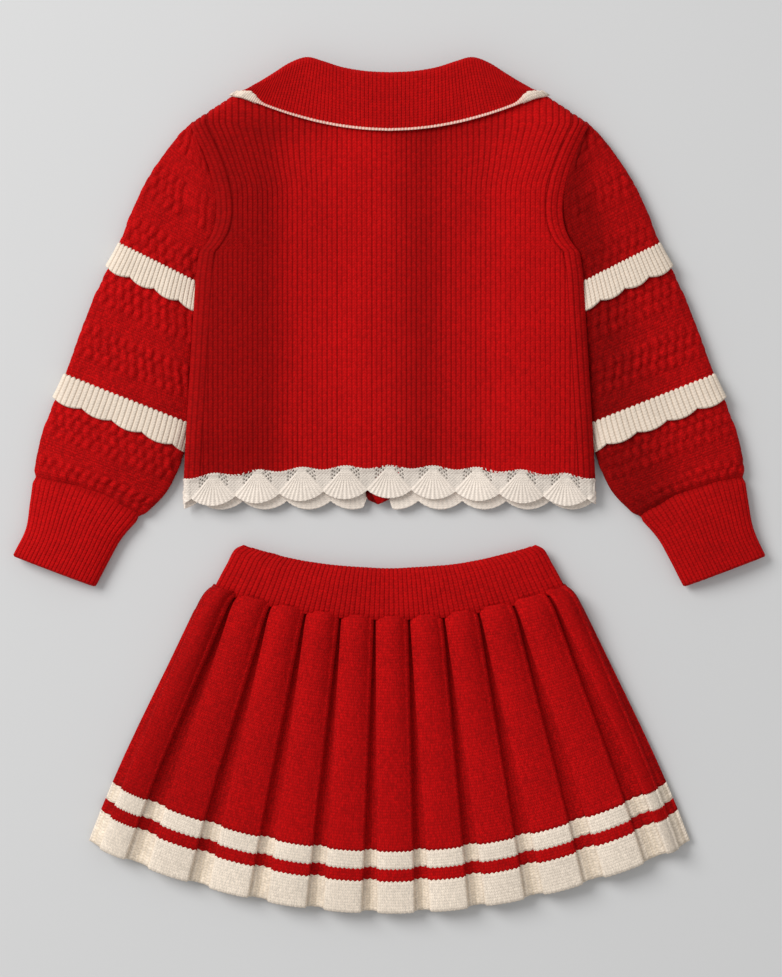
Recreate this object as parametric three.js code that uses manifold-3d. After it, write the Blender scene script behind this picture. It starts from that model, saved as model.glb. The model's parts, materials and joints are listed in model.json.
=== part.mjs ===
// Child's knitted cheer set, laid flat face down: a cropped collared cardigan above a pleated skirt.
// Millimetres. +Z up out of the table, +Y towards the collar, +X towards the wearer's right.
// The origin is on the table, under the middle of the whole set. side is -1 for the wearer's left.
import * as THREE from 'three';
import { mergeVertices } from 'three/addons/utils/BufferGeometryUtils.js';
import Module from 'manifold-3d';

const wasm = await Module();
wasm.setup();

// Driving dimensions

const GAP = 0.3;
const CURVE_STEPS = 8;
const SCALLOP_STEPS = 6;
// Heights that pass below and above the whole set, for cutting straight through it
const THROUGH_Z = [-10, 30];

// Heights of the stacked layers, [low, high]
const LEAF_Z = [0, 2.4];
const FRONT_Z = [2.7, 5.3];
const BUTTON_Z = [5.6, 7.4];
const INNER_PLACKET_Z = [7.7, 10.3];
const SEAM_Z = [5.6, 12.4];
const BACK_Z = [12.7, 15.3];
const FALL_Z = [15.6, 18.2];

// Cardigan body
const HEM_HALF = 175.5;
const HEM_SIDE_Y = 5;
const HEM_MID_Y = 14.5;
const UNDERARM = [162, 198];
const ARMHOLE = [147.3, 240];
const SHOULDER = [170, 306];
const COLLAR_TIP = [131, 331.5];
const NECK_POINT = [66, 343];
const BACK_NECK_Y = 320;
const FRONT_NECK_Y = 283;
const FRONT_FOLD_X = 75;
const SEAM_WIDTH = 3;
const SEAM_INSET = 0.5;

// Front bands and buttons
const PLACKET_HALF = 12;
const PLACKET_END_Y = -17;
const BUTTON_COUNT = 5;
const BUTTON_RADIUS = 6.5;
const BUTTON_FIRST_Y = 16;
const BUTTON_PITCH = 62;
const BUTTON_RIM = 0.5;
const BUTTON_SIDES = 24;
const BUTTON_HOLE_RADIUS = 0.9;
const BUTTON_HOLE_OFFSET = 1.7;
const PANEL_RISE_X = [16, 36];

// Lace hem
const SCALLOP_PITCH = 37.4;
const SCALLOP_DEPTH = 6.5;
const BACK_CUSP_SIDE_Y = -11;
const BACK_CUSP_MID_Y = -3.4;
const FRONT_CUSP_Y = -13;

// Collar
const PEAK = [71, 363];
const COLLAR_DIP_Y = 350;
const COLLAR_EDGE_Y = 300;
const COLLAR_FOLD_Y = 351;
const LEAF_POINT = [24, 236];
const LEAF_SIDE = [75, 262];
const FALL_TRIM = 2;
const WRAP_TRIM = 7;

// Sleeves, given for the wearer's right
const SLEEVE_FOLD_X = 176.8;
const SLEEVE_Z = [1.9, 13.4];
const FRILL_Z = [0, 15.3];
const SLEEVE_WALL = 2.6;
const FRILL_WALL = 1.6;
const CUFF_WALL = 2.8;
const CAP_LOW_Y = 100;
const SLEEVE_CROWN = [212.5, 260.7];
const UPPER_SEAM = { inner: [165.7, 171.2], outer: [229.3, 203] };
const SLEEVE_MIDDLE = { outer: [253, 153] };
const LOWER_SEAM = { inner: [178.1, 54.4], outer: [275, 92.7] };
const SLEEVE_WRIST = { inner: [186, 6], outer: [295.4, 42.5] };
const CUFF_SEAM = { inner: [214, -33], outer: [304.3, 3] };
const CUFF_MIDDLE = { inner: [230, -44], outer: [306, -24] };
const CUFF_END = { inner: [252, -86.7], outer: [320, -59.5] };
const SLEEVE_DOWN = [0.37, -0.93];
const SLEEVE_OUTWARD = [0.93, 0.37];
const SLEEVE_INWARD = [-0.76, -0.65];
// How far the knit between the frills lies inside the cuff's outline, and the frills outside it
const SLEEVE_INSET = 1.5;
const FRILL_SPREAD = 0.6;
const FRILL_DROP = 22;
const FRILL_SCALLOPS = 3;
const FRILL_SCALLOP_DEPTH = 4;
// Slopes of the two cuts where the sleeve meets its fold line
const TOP_CUT_SLOPE = 0.9;
const LOW_CUT_SLOPE = 1.15;

// Skirt
const WAIST_PEAK = [124.5, -50.6];
const WAIST_TOP_MID_Y = -70.5;
const WAIST_SIDE = [135.5, -66];
const WAIST_CORNER = [150, -87.6];
const WAIST_LOW_MID_Y = -113.7;
const SKIRT_BOW = [205.3, -174];
const HEM_CORNER = [255.4, -304.3];
const SKIRT_HEM_Y = -363;
const SKIRT_Z = [0, 15.6];
const SKIRT_LAYER = 5;
const BAND_WALL = 1.5;
// The elastic's channel starts this far below the band's upper edge; openings run BAND_OPEN past it
const CHANNEL_TOP = 3;
const BAND_OPEN = 20;
const ELASTIC_THICKNESS = 1.2;
const STRIPE_LINES = [0, 25.5, 36, 51];
const STRIPE_BOW_GROWTH = 2.5e-6;
const STRIPE_HALF = 300;
const ABOVE_WAIST = 330;
const PLEAT_COUNT = 11;
const PLEAT_WAIST_PITCH = 28.7;
const PLEAT_HEM_PITCH = 46.6;
const PLEAT_GROOVE_DEPTH = 2.2;
const PLEAT_GROOVE_TOP_HALF = 0.4;
const PLEAT_GROOVE_HEM_HALF = 3;
const PLEAT_GROOVE_ENDS_Y = [-80, -375];

// Materials

function yarn(color) {
  return new THREE.MeshStandardMaterial({ color, roughness: 0.92, metalness: 0 });
}

const RED = yarn(0xb81418);
const CREAM = yarn(0xeae0cc);
const ELASTIC = new THREE.MeshStandardMaterial({ color: 0xf2efe8, roughness: 0.7, metalness: 0 });
const BUTTON = new THREE.MeshStandardMaterial({ color: 0xf1e7d4, roughness: 0.35, metalness: 0 });

// Shape helpers

function at(pair, side = 1) {
  return new THREE.Vector2(side * pair[0], pair[1]);
}

function bend(from, control, to) {
  return new THREE.QuadraticBezierCurve(from, control, to).getPoints(CURVE_STEPS);
}

// A quadratic arc through three points, the second of them half way along.
function arch(from, middle, to) {
  const control = middle.clone().multiplyScalar(2);
  control.sub(from.clone().add(to).multiplyScalar(0.5));
  return bend(from, control, to);
}

function polygon(points) {
  return new THREE.Shape(points.map((p) => p.clone()));
}

function rectangle(lowX, lowY, highX, highY) {
  const corners = [[lowX, lowY], [highX, lowY], [highX, highY], [lowX, highY]];
  return polygon(corners.map((pair) => at(pair)));
}

// The closed outline of a right half that runs from the bottom middle to the top middle.
function symmetric(half) {
  const mirrored = half.map((p) => new THREE.Vector2(-p.x, p.y)).reverse();
  const open = mirrored.filter((p) => Math.abs(p.x) > 1e-6);
  return polygon([...half, ...open]);
}

function sided(points, side) {
  return polygon(points.map((p) => new THREE.Vector2(side * p.x, p.y)));
}

// Solid helpers

function solidOf(geometry) {
  geometry.deleteAttribute('normal');
  geometry.deleteAttribute('uv');
  const merged = mergeVertices(geometry, 1e-4);
  const mesh = new wasm.Mesh({
    numProp: 3,
    vertProperties: new Float32Array(merged.attributes.position.array),
    triVerts: new Uint32Array(merged.index.array),
  });
  return new wasm.Manifold(mesh);
}

function slab(shape, [low, high]) {
  const geometry = new THREE.ExtrudeGeometry(shape, { depth: high - low, bevelEnabled: false });
  geometry.translate(0, 0, low);
  return solidOf(geometry);
}

function node(name, solid, material) {
  const { vertProperties, triVerts } = solid.getMesh();
  const geometry = new THREE.BufferGeometry();
  geometry.setAttribute('position', new THREE.BufferAttribute(vertProperties, 3));
  geometry.setIndex(new THREE.BufferAttribute(triVerts, 1));
  geometry.computeVertexNormals();
  const mesh = new THREE.Mesh(geometry, material);
  mesh.name = name;
  return mesh;
}

function sideName(side) {
  return side < 0 ? 'left' : 'right';
}

// Cardigan body outlines

function hemY(x) {
  return HEM_MID_Y + (HEM_SIDE_Y - HEM_MID_Y) * (x / HEM_HALF) ** 2;
}

function hemPoints(fromX, toX) {
  const points = [];
  for (let i = 0; i <= CURVE_STEPS; i += 1) {
    const x = THREE.MathUtils.lerp(fromX, toX, i / CURVE_STEPS);
    points.push(new THREE.Vector2(x, hemY(x)));
  }
  return points;
}

function bodyHalf(y) {
  return THREE.MathUtils.mapLinear(y, HEM_SIDE_Y, UNDERARM[1], HEM_HALF, UNDERARM[0]);
}

function armholePoints() {
  return arch(at(UNDERARM), at(ARMHOLE), at(SHOULDER));
}

function shoulderY(x) {
  const [from, to] = x > COLLAR_TIP[0] ? [SHOULDER, COLLAR_TIP] : [COLLAR_TIP, NECK_POINT];
  return THREE.MathUtils.mapLinear(x, from[0], to[0], from[1], to[1]);
}

function backNeckPoints(lift = 0) {
  const start = new THREE.Vector2(NECK_POINT[0], NECK_POINT[1] + lift);
  const low = BACK_NECK_Y + lift;
  return bend(start, new THREE.Vector2(NECK_POINT[0] * 0.7, low), new THREE.Vector2(0, low));
}

function frontNeckPoints() {
  const low = new THREE.Vector2(PLACKET_HALF + GAP, FRONT_NECK_Y);
  return bend(at(NECK_POINT), new THREE.Vector2(NECK_POINT[0] * 0.9, FRONT_NECK_Y + 6), low);
}

function makeBackPanel() {
  const half = [
    ...hemPoints(0, HEM_HALF),
    ...armholePoints(),
    at(COLLAR_TIP),
    ...backNeckPoints(),
  ];
  return node('back_panel', slab(symmetric(half), BACK_Z), RED);
}

function makeFrontSide(side) {
  const inner = FRONT_FOLD_X + GAP;
  const outline = [
    ...hemPoints(inner, HEM_HALF),
    ...armholePoints(),
    at(COLLAR_TIP),
    new THREE.Vector2(inner, shoulderY(inner)),
  ];
  return node(`${sideName(side)}_front_side`, slab(sided(outline, side), FRONT_Z), RED);
}

function makeSideSeam(side) {
  const low = HEM_SIDE_Y + 1;
  const top = UNDERARM[1] - 8;
  const lowX = HEM_HALF - SEAM_INSET;
  const topX = UNDERARM[0] + SEAM_INSET;
  const outline = [
    new THREE.Vector2(lowX, low),
    new THREE.Vector2(topX, top),
    new THREE.Vector2(topX - SEAM_WIDTH, top),
    new THREE.Vector2(lowX - SEAM_WIDTH, low),
  ];
  return node(`${sideName(side)}_side_seam`, slab(sided(outline, side), SEAM_Z), RED);
}

function makeShoulderSeam(side) {
  const ends = [SHOULDER[0] - 6, COLLAR_TIP[0], NECK_POINT[0] + 4];
  const upper = ends.map((x) => new THREE.Vector2(x, shoulderY(x) - SEAM_INSET));
  const lower = upper.map((p) => new THREE.Vector2(p.x, p.y - SEAM_WIDTH)).reverse();
  const seam = slab(sided([...upper, ...lower], side), SEAM_Z);
  return node(`${sideName(side)}_shoulder_seam`, seam, RED);
}

// The left panel climbs over the right placket and its buttons, the right panel stays flat.
function frontPanelProfile(side) {
  const [riseTo, riseFrom] = PANEL_RISE_X;
  const thickness = FRONT_Z[1] - FRONT_Z[0];
  const climb = side < 0 ? INNER_PLACKET_Z[0] - FRONT_Z[0] : 0;
  const under = [
    [FRONT_FOLD_X + 1, FRONT_Z[0]],
    [riseFrom, FRONT_Z[0]],
    [riseTo, FRONT_Z[0] + climb],
    [0, FRONT_Z[0] + climb],
  ];
  const over = under.map(([x, z]) => [x, z + thickness]).reverse();
  return polygon([...under, ...over].map((pair) => at(pair, side)));
}

function makeFrontPanel(side) {
  const inner = PLACKET_HALF + GAP;
  const outer = FRONT_FOLD_X - GAP;
  const outline = [
    ...hemPoints(inner, outer),
    new THREE.Vector2(outer, shoulderY(outer)),
    ...frontNeckPoints(),
  ];
  const plan = slab(sided(outline, side), THROUGH_Z);
  const run = PEAK[1] - PLACKET_END_Y;
  const profile = new THREE.ExtrudeGeometry(frontPanelProfile(side), { depth: run, bevelEnabled: false });
  profile.rotateX(Math.PI / 2);
  profile.translate(0, PEAK[1], 0);
  return node(`${sideName(side)}_front_panel`, plan.intersect(solidOf(profile)), RED);
}

function makePlacket(side) {
  const layer = side < 0 ? INNER_PLACKET_Z : FRONT_Z;
  const low = PLACKET_END_Y + PLACKET_HALF;
  const shape = new THREE.Shape();
  shape.moveTo(PLACKET_HALF, low);
  shape.lineTo(PLACKET_HALF, FRONT_NECK_Y);
  shape.lineTo(-PLACKET_HALF, FRONT_NECK_Y);
  shape.lineTo(-PLACKET_HALF, low);
  shape.absarc(0, low, PLACKET_HALF, Math.PI, 2 * Math.PI, false);
  return node(`${sideName(side)}_placket`, slab(shape, layer), RED);
}

function makeButton(index) {
  const [low, high] = BUTTON_Z;
  const profile = [
    [0, low],
    [BUTTON_RADIUS - BUTTON_RIM, low],
    [BUTTON_RADIUS, low + BUTTON_RIM],
    [BUTTON_RADIUS, high - BUTTON_RIM],
    [BUTTON_RADIUS - BUTTON_RIM, high],
    [0, high],
  ];
  const disc = new THREE.LatheGeometry(profile.map((pair) => at(pair)), BUTTON_SIDES);
  disc.rotateX(Math.PI / 2);
  let solid = solidOf(disc);
  const drill = 3 * (high - low);
  for (const [sx, sy] of [[1, 1], [1, -1], [-1, 1], [-1, -1]]) {
    const hole = new THREE.CylinderGeometry(BUTTON_HOLE_RADIUS, BUTTON_HOLE_RADIUS, drill, 8);
    hole.rotateX(Math.PI / 2);
    hole.translate(sx * BUTTON_HOLE_OFFSET, sy * BUTTON_HOLE_OFFSET, (low + high) / 2);
    solid = solid.subtract(solidOf(hole));
  }
  const y = BUTTON_FIRST_Y + index * BUTTON_PITCH;
  return node(`button_${index + 1}`, solid.translate([0, y, 0]), BUTTON);
}

// Lace hem

function backCuspY(x) {
  return BACK_CUSP_MID_Y + (BACK_CUSP_SIDE_Y - BACK_CUSP_MID_Y) * (x / HEM_HALF) ** 2;
}

// Scallops hang from cusps one pitch apart, cut short at both ends of the strip.
function scallopPoints(fromX, toX, cuspY, firstCusp) {
  const points = [];
  const cells = Math.ceil((toX - fromX) / SCALLOP_PITCH) + 1;
  const start = firstCusp + Math.floor((fromX - firstCusp) / SCALLOP_PITCH) * SCALLOP_PITCH;
  for (let i = 0; i < cells * SCALLOP_STEPS; i += 1) {
    const x = start + (i / SCALLOP_STEPS) * SCALLOP_PITCH;
    const phase = (i % SCALLOP_STEPS) / SCALLOP_STEPS;
    if (x > fromX + 1 && x < toX - 1) {
      points.push(new THREE.Vector2(x, cuspY(x) - SCALLOP_DEPTH * Math.sin(Math.PI * phase)));
    }
  }
  return points;
}

function lace(name, fromX, toX, cuspY, firstCusp, layer) {
  const top = hemPoints(toX, fromX).map((p) => new THREE.Vector2(p.x, p.y - GAP));
  const outline = [
    ...top,
    new THREE.Vector2(fromX, cuspY(fromX) - 2),
    ...scallopPoints(fromX, toX, cuspY, firstCusp),
    new THREE.Vector2(toX, cuspY(toX) - 2),
  ];
  return node(name, slab(polygon(outline), layer), CREAM);
}

function makeBackLace() {
  const firstCusp = -4.5 * SCALLOP_PITCH;
  return lace('back_lace', -HEM_HALF, HEM_HALF, backCuspY, firstCusp, BACK_Z);
}

function makeFrontLace(side, part, innerX, outerX) {
  const fromX = side < 0 ? -outerX : innerX;
  const toX = side < 0 ? -innerX : outerX;
  return lace(`${sideName(side)}_${part}_lace`, fromX, toX, () => FRONT_CUSP_Y, 0, FRONT_Z);
}

// Collar

function collarEdgeY(x) {
  return COLLAR_EDGE_Y + (COLLAR_TIP[1] - COLLAR_EDGE_Y) * (x / COLLAR_TIP[0]) ** 2;
}

function collarEdgePoints(lift, toX) {
  const points = [];
  for (let i = 0; i <= CURVE_STEPS; i += 1) {
    const x = (i / CURVE_STEPS) * toX;
    points.push(new THREE.Vector2(x, collarEdgeY(x) + lift));
  }
  return points;
}

function collarTopPoints() {
  const dip = new THREE.Vector2(0, COLLAR_DIP_Y);
  return bend(at(PEAK), new THREE.Vector2(PEAK[0] * 0.55, COLLAR_DIP_Y - 1), dip);
}

function collarShape(lift) {
  const half = [
    ...collarEdgePoints(lift, COLLAR_TIP[0] - 3),
    ...collarTopPoints(),
  ];
  return symmetric(half);
}

function makeCollarFall() {
  const whole = slab(collarShape(FALL_TRIM + GAP), FALL_Z);
  const below = slab(rectangle(-HEM_HALF, 0, HEM_HALF, COLLAR_FOLD_Y - GAP), THROUGH_Z);
  return node('collar_fall', whole.intersect(below), RED);
}

function makeCollarFallTrim() {
  const edge = collarEdgePoints(0, COLLAR_TIP[0] - 8);
  const upper = edge.map((p) => new THREE.Vector2(p.x, p.y + FALL_TRIM)).reverse();
  return node('collar_fall_trim', slab(symmetric([...edge, ...upper]), FALL_Z), CREAM);
}

// The band that climbs from the neckline, with the ridge where the collar turns over.
function makeCollarStand() {
  const half = [...backNeckPoints(GAP).reverse(), at(PEAK), ...collarTopPoints()];
  const band = slab(symmetric(half), BACK_Z);
  const above = slab(rectangle(-PEAK[0], COLLAR_FOLD_Y + GAP, PEAK[0], PEAK[1]), THROUGH_Z);
  const ridge = slab(collarShape(0), [BACK_Z[0], FALL_Z[1]]).intersect(above);
  return node('collar_stand', band.add(ridge), RED);
}

function leafOuterPoints(inset) {
  const point = new THREE.Vector2(LEAF_POINT[0], LEAF_POINT[1] + inset);
  const sidePoint = new THREE.Vector2(LEAF_SIDE[0] - GAP, LEAF_SIDE[1] + inset);
  return bend(point, new THREE.Vector2(50, LEAF_POINT[1] + 4 + inset), sidePoint);
}

function makeCollarLeaf(side) {
  const outline = [
    ...leafOuterPoints(FALL_TRIM + GAP),
    new THREE.Vector2(LEAF_SIDE[0] - GAP, NECK_POINT[1]),
    ...frontNeckPoints(),
  ];
  return node(`${sideName(side)}_collar_leaf`, slab(sided(outline, side), LEAF_Z), RED);
}

function makeLeafTrim(side) {
  const edge = [...leafOuterPoints(0), ...leafOuterPoints(FALL_TRIM).reverse()];
  const layer = [LEAF_Z[0] + GAP, LEAF_Z[1] - GAP];
  return node(`${sideName(side)}_leaf_trim`, slab(sided(edge, side), layer), CREAM);
}

// The collar's shoulder part, which goes round under the shoulder to meet the leaf.
function wrapOuterPoints(inset) {
  const from = new THREE.Vector2(LEAF_SIDE[0] + GAP, LEAF_SIDE[1] + inset);
  const to = new THREE.Vector2(COLLAR_TIP[0] - inset, COLLAR_TIP[1] - inset);
  return bend(from, new THREE.Vector2(118 - inset, 284 + inset), to);
}

function makeCollarWrap(side) {
  const outline = [
    ...wrapOuterPoints(WRAP_TRIM + GAP),
    new THREE.Vector2(LEAF_SIDE[0] + GAP, NECK_POINT[1]),
  ];
  return node(`${sideName(side)}_collar_wrap`, slab(sided(outline, side), LEAF_Z), RED);
}

function makeWrapTrim(side) {
  const edge = [...wrapOuterPoints(0), ...wrapOuterPoints(WRAP_TRIM).reverse()];
  return node(`${sideName(side)}_wrap_trim`, slab(sided(edge, side), LEAF_Z), CREAM);
}

// Sleeves

const OPEN_END = 20;
const BAND_REACH = 60;

// The sleeve's outline beyond its fold line, grown sideways; reach lengthens it past the cuff.
function sleeveOutline(grow, foldX, reach) {
  const outward = at(SLEEVE_OUTWARD).multiplyScalar(grow);
  const inward = at(SLEEVE_INWARD).multiplyScalar(grow);
  const along = at(SLEEVE_DOWN).multiplyScalar(reach);
  const outer = [
    ...bend(at(SHOULDER), at(SLEEVE_CROWN), at(UPPER_SEAM.outer)),
    at(SLEEVE_MIDDLE.outer),
    at(LOWER_SEAM.outer),
    at(SLEEVE_WRIST.outer),
    at(CUFF_SEAM.outer),
    at(CUFF_MIDDLE.outer),
    at(CUFF_END.outer).add(along),
  ].map((p) => p.clone().add(outward));
  const inner = [
    at(CUFF_END.inner).add(along),
    at(CUFF_MIDDLE.inner),
    at(CUFF_SEAM.inner),
    at(SLEEVE_WRIST.inner),
  ].map((p) => p.clone().add(inward));
  const beyond = outer.filter((p) => p.x > foldX);
  const low = inner[3].y + (inner[3].x - foldX) * LOW_CUT_SLOPE;
  const top = new THREE.Vector2(foldX, beyond[0].y + (beyond[0].x - foldX) * TOP_CUT_SLOPE);
  return [top, ...beyond, ...inner, new THREE.Vector2(foldX, low)];
}

function sleeveTube(side, grow, layer, wall) {
  const foldX = SLEEVE_FOLD_X + GAP;
  const [low, high] = layer;
  const outer = slab(sided(sleeveOutline(grow, foldX, 0), side), layer);
  const hollow = sided(sleeveOutline(grow - wall, foldX - wall, OPEN_END), side);
  return outer.subtract(slab(hollow, [low + wall, high - wall]));
}

// The strip across the sleeve between two seams, wide enough to pass both edges.
function crossBand(side, upper, lower) {
  const stretch = (seam) => {
    const outer = at(seam.outer);
    const inner = at(seam.inner);
    const step = outer.clone().sub(inner).normalize().multiplyScalar(BAND_REACH);
    return [outer.clone().add(step), inner.clone().sub(step)];
  };
  return slab(sided([...stretch(upper), ...stretch(lower).reverse()], side), THROUGH_Z);
}

function shiftSeam(seam, drop) {
  const move = ([x, y]) => [x + SLEEVE_DOWN[0] * drop, y + SLEEVE_DOWN[1] * drop];
  return { inner: move(seam.inner), outer: move(seam.outer) };
}

// Lines across the sleeve beyond both of its ends
const ABOVE_SHOULDER = { inner: [100, 330], outer: [260, 400] };
const BELOW_CUFF = { inner: [262, -112], outer: [330, -85] };

function makeSleevePart(side, part, layer, wall, upper, lower) {
  const band = crossBand(side, shiftSeam(upper, GAP / 2), shiftSeam(lower, -GAP / 2));
  const grow = layer === SLEEVE_Z ? -SLEEVE_INSET : 0;
  const solid = sleeveTube(side, grow, layer, wall).intersect(band);
  return node(`${sideName(side)}_${part}`, solid, RED);
}

// A gathered frill goes right round the sleeve below its seam and ends in scallops.
function makeFrill(side, part, seam) {
  const ring = sleeveTube(side, FRILL_SPREAD, FRILL_Z, FRILL_WALL);
  const top = shiftSeam(seam, GAP / 2);
  const rim = shiftSeam(seam, FRILL_DROP);
  const from = at(rim.outer);
  const to = at(rim.inner);
  const out = to.clone().sub(from);
  const fall = at(SLEEVE_DOWN).multiplyScalar(FRILL_SCALLOP_DEPTH);
  const scallops = [];
  for (let i = -SCALLOP_STEPS; i <= (FRILL_SCALLOPS + 1) * SCALLOP_STEPS; i += 1) {
    const bulge = Math.abs(Math.sin((Math.PI * i) / SCALLOP_STEPS));
    const place = from.clone().addScaledVector(out, i / (FRILL_SCALLOPS * SCALLOP_STEPS));
    scallops.push(place.addScaledVector(fall, bulge));
  }
  const lead = at(top.outer).addScaledVector(out, -1 / FRILL_SCALLOPS);
  const tail = at(top.inner).addScaledVector(out, 1 / FRILL_SCALLOPS);
  const band = slab(sided([lead, ...scallops, tail], side), THROUGH_Z);
  return node(`${sideName(side)}_${part}`, ring.intersect(band), CREAM);
}

// The strip of sleeve between the armhole and the fold line, open to the body and the sleeve.
function makeSleeveCap(side) {
  const edge = SLEEVE_FOLD_X - GAP;
  const shift = new THREE.Vector2(0.45, 0);
  const bodySideX = bodyHalf(CAP_LOW_Y);
  const outline = [
    new THREE.Vector2(edge, CAP_LOW_Y),
    new THREE.Vector2(edge, SHOULDER[1] - 9),
    ...armholePoints().reverse().map((p) => p.add(shift)),
    new THREE.Vector2(bodySideX + shift.x, CAP_LOW_Y),
  ];
  const hollow = [
    new THREE.Vector2(edge + 2, CAP_LOW_Y + 4),
    new THREE.Vector2(edge + 2, SHOULDER[1] - 18),
    new THREE.Vector2(ARMHOLE[0] - 8, SHOULDER[1] - 18),
    new THREE.Vector2(ARMHOLE[0] - 8, UNDERARM[1] + 6),
    new THREE.Vector2(UNDERARM[0] + 4, UNDERARM[1] + 6),
    new THREE.Vector2(bodySideX + 3, CAP_LOW_Y + 4),
  ];
  const [low, high] = SLEEVE_Z;
  const shell = slab(sided(outline, side), SLEEVE_Z);
  const space = slab(sided(hollow, side), [low + SLEEVE_WALL, high - SLEEVE_WALL]);
  return node(`${sideName(side)}_sleeve_cap`, shell.subtract(space), RED);
}

function makeSleeve(side) {
  return [
    makeSleevePart(side, 'upper_sleeve', SLEEVE_Z, SLEEVE_WALL, ABOVE_SHOULDER, UPPER_SEAM),
    makeFrill(side, 'upper_frill', UPPER_SEAM),
    makeSleevePart(side, 'middle_sleeve', SLEEVE_Z, SLEEVE_WALL, UPPER_SEAM, LOWER_SEAM),
    makeFrill(side, 'lower_frill', LOWER_SEAM),
    makeSleevePart(side, 'lower_sleeve', SLEEVE_Z, SLEEVE_WALL, LOWER_SEAM, CUFF_SEAM),
    makeSleevePart(side, 'cuff', FRILL_Z, CUFF_WALL, CUFF_SEAM, BELOW_CUFF),
  ];
}

// Skirt

function waistTopY(x) {
  return WAIST_TOP_MID_Y + (WAIST_PEAK[1] - WAIST_TOP_MID_Y) * (x / WAIST_PEAK[0]) ** 2;
}

function waistLowY(x) {
  return WAIST_LOW_MID_Y + (WAIST_CORNER[1] - WAIST_LOW_MID_Y) * (x / WAIST_CORNER[0]) ** 2;
}

// The waistband's outline with its sides moved in and its two long edges moved down.
function waistShape(inset, topDrop, lowDrop) {
  const lower = [];
  const upper = [];
  const lean = (WAIST_CORNER[0] - WAIST_SIDE[0]) / (WAIST_SIDE[1] - WAIST_CORNER[1]);
  for (let i = 0; i <= CURVE_STEPS; i += 1) {
    const share = i / CURVE_STEPS;
    const lowX = share * (WAIST_CORNER[0] - inset + lean * lowDrop);
    const topX = (1 - share) * (WAIST_PEAK[0] - inset);
    lower.push(new THREE.Vector2(lowX, waistLowY(lowX) - lowDrop));
    upper.push(new THREE.Vector2(topX, waistTopY(topX) - topDrop));
  }
  const side = new THREE.Vector2(WAIST_SIDE[0] - inset, WAIST_SIDE[1]);
  return symmetric([...lower, side, ...upper]);
}

function makeWaistband() {
  const [low, high] = SKIRT_Z;
  const wall = BAND_WALL;
  const slot = wall + ELASTIC_THICKNESS + 2 * GAP;
  const whole = wall + slot;
  const outer = slab(waistShape(0, 0, 0), SKIRT_Z);
  const wearer = slab(waistShape(whole, -BAND_OPEN, BAND_OPEN), [low + whole, high - whole]);
  const channel = slab(waistShape(wall, CHANNEL_TOP, BAND_OPEN), [low + wall, high - wall]);
  const core = slab(waistShape(slot, -BAND_OPEN, 1.5 * BAND_OPEN), [low + slot, high - slot]);
  return node('waistband', outer.subtract(wearer).subtract(channel.subtract(core)), RED);
}

function makeElastic() {
  const [low, high] = SKIRT_Z;
  const outside = BAND_WALL + GAP;
  const inside = outside + ELASTIC_THICKNESS;
  const margin = CHANNEL_TOP + 1;
  const ring = slab(waistShape(outside, margin, -margin), [low + outside, high - outside]);
  const space = slab(waistShape(inside, -BAND_OPEN, 1.5 * BAND_OPEN), [low + inside, high - inside]);
  return node('waist_elastic', ring.subtract(space), ELASTIC);
}

// Lines that run across the skirt at a height above the hem, curving more towards the waist.
function stripePoints(rise) {
  const bow = (HEM_CORNER[1] - SKIRT_HEM_Y) / HEM_CORNER[0] ** 2 + rise * STRIPE_BOW_GROWTH;
  const points = [];
  const steps = 2 * CURVE_STEPS;
  for (let i = 0; i <= steps; i += 1) {
    const x = THREE.MathUtils.lerp(-STRIPE_HALF, STRIPE_HALF, i / steps);
    points.push(new THREE.Vector2(x, SKIRT_HEM_Y + rise + bow * x * x));
  }
  return points;
}

function skirtShape(topDrop, inset) {
  const side = bend(at(HEM_CORNER), at(SKIRT_BOW), at(WAIST_CORNER));
  const edge = side.map((p) => new THREE.Vector2(p.x - inset, p.y - topDrop));
  const top = [];
  for (let i = 1; i <= CURVE_STEPS; i += 1) {
    const x = (1 - i / CURVE_STEPS) * (WAIST_CORNER[0] - inset);
    top.push(new THREE.Vector2(x, waistLowY(x) - topDrop));
  }
  const below = SKIRT_HEM_Y - 37;
  const foot = [new THREE.Vector2(0, below), new THREE.Vector2(HEM_CORNER[0] - inset, below)];
  return symmetric([...foot, ...edge, ...top]);
}

function pleatGrooves(layer) {
  const grooves = [];
  const half = (PLEAT_COUNT - 1) / 2;
  const [topY, lowY] = PLEAT_GROOVE_ENDS_Y;
  for (let i = 0; i < PLEAT_COUNT - 1; i += 1) {
    const place = i - half + 0.5;
    const waistX = place * PLEAT_WAIST_PITCH;
    const hemX = place * PLEAT_HEM_PITCH;
    const hemHalf = PLEAT_GROOVE_HEM_HALF + Math.abs(place);
    const outline = [
      [waistX - PLEAT_GROOVE_TOP_HALF, topY],
      [waistX + PLEAT_GROOVE_TOP_HALF, topY],
      [hemX + hemHalf, lowY],
      [hemX - hemHalf, lowY],
    ];
    grooves.push(slab(polygon(outline.map((pair) => at(pair))), layer));
  }
  return grooves.reduce((all, groove) => all.add(groove));
}

function makeSkirtLayer(face) {
  const [low, high] = SKIRT_Z;
  const isBack = face === 'back';
  const layer = isBack ? [high - SKIRT_LAYER, high] : [low, low + SKIRT_LAYER];
  const [under, over] = THROUGH_Z;
  const skin = isBack ? [high - PLEAT_GROOVE_DEPTH, over] : [under, low + PLEAT_GROOVE_DEPTH];
  const panel = slab(skirtShape(GAP, 0), layer).subtract(pleatGrooves(skin));
  const between = (from, to) => {
    const lower = stripePoints(from + GAP / 2);
    const upper = stripePoints(to - GAP / 2).reverse();
    return panel.intersect(slab(polygon([...lower, ...upper]), THROUGH_Z));
  };
  const [hem, first, second, third] = STRIPE_LINES;
  return [
    node(`${face}_pleats`, between(third, ABOVE_WAIST), RED),
    node(`${face}_upper_stripe`, between(second, third), CREAM),
    node(`${face}_middle_stripe`, between(first, second), RED),
    node(`${face}_hem_stripe`, between(hem, first), CREAM),
  ];
}

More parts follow.
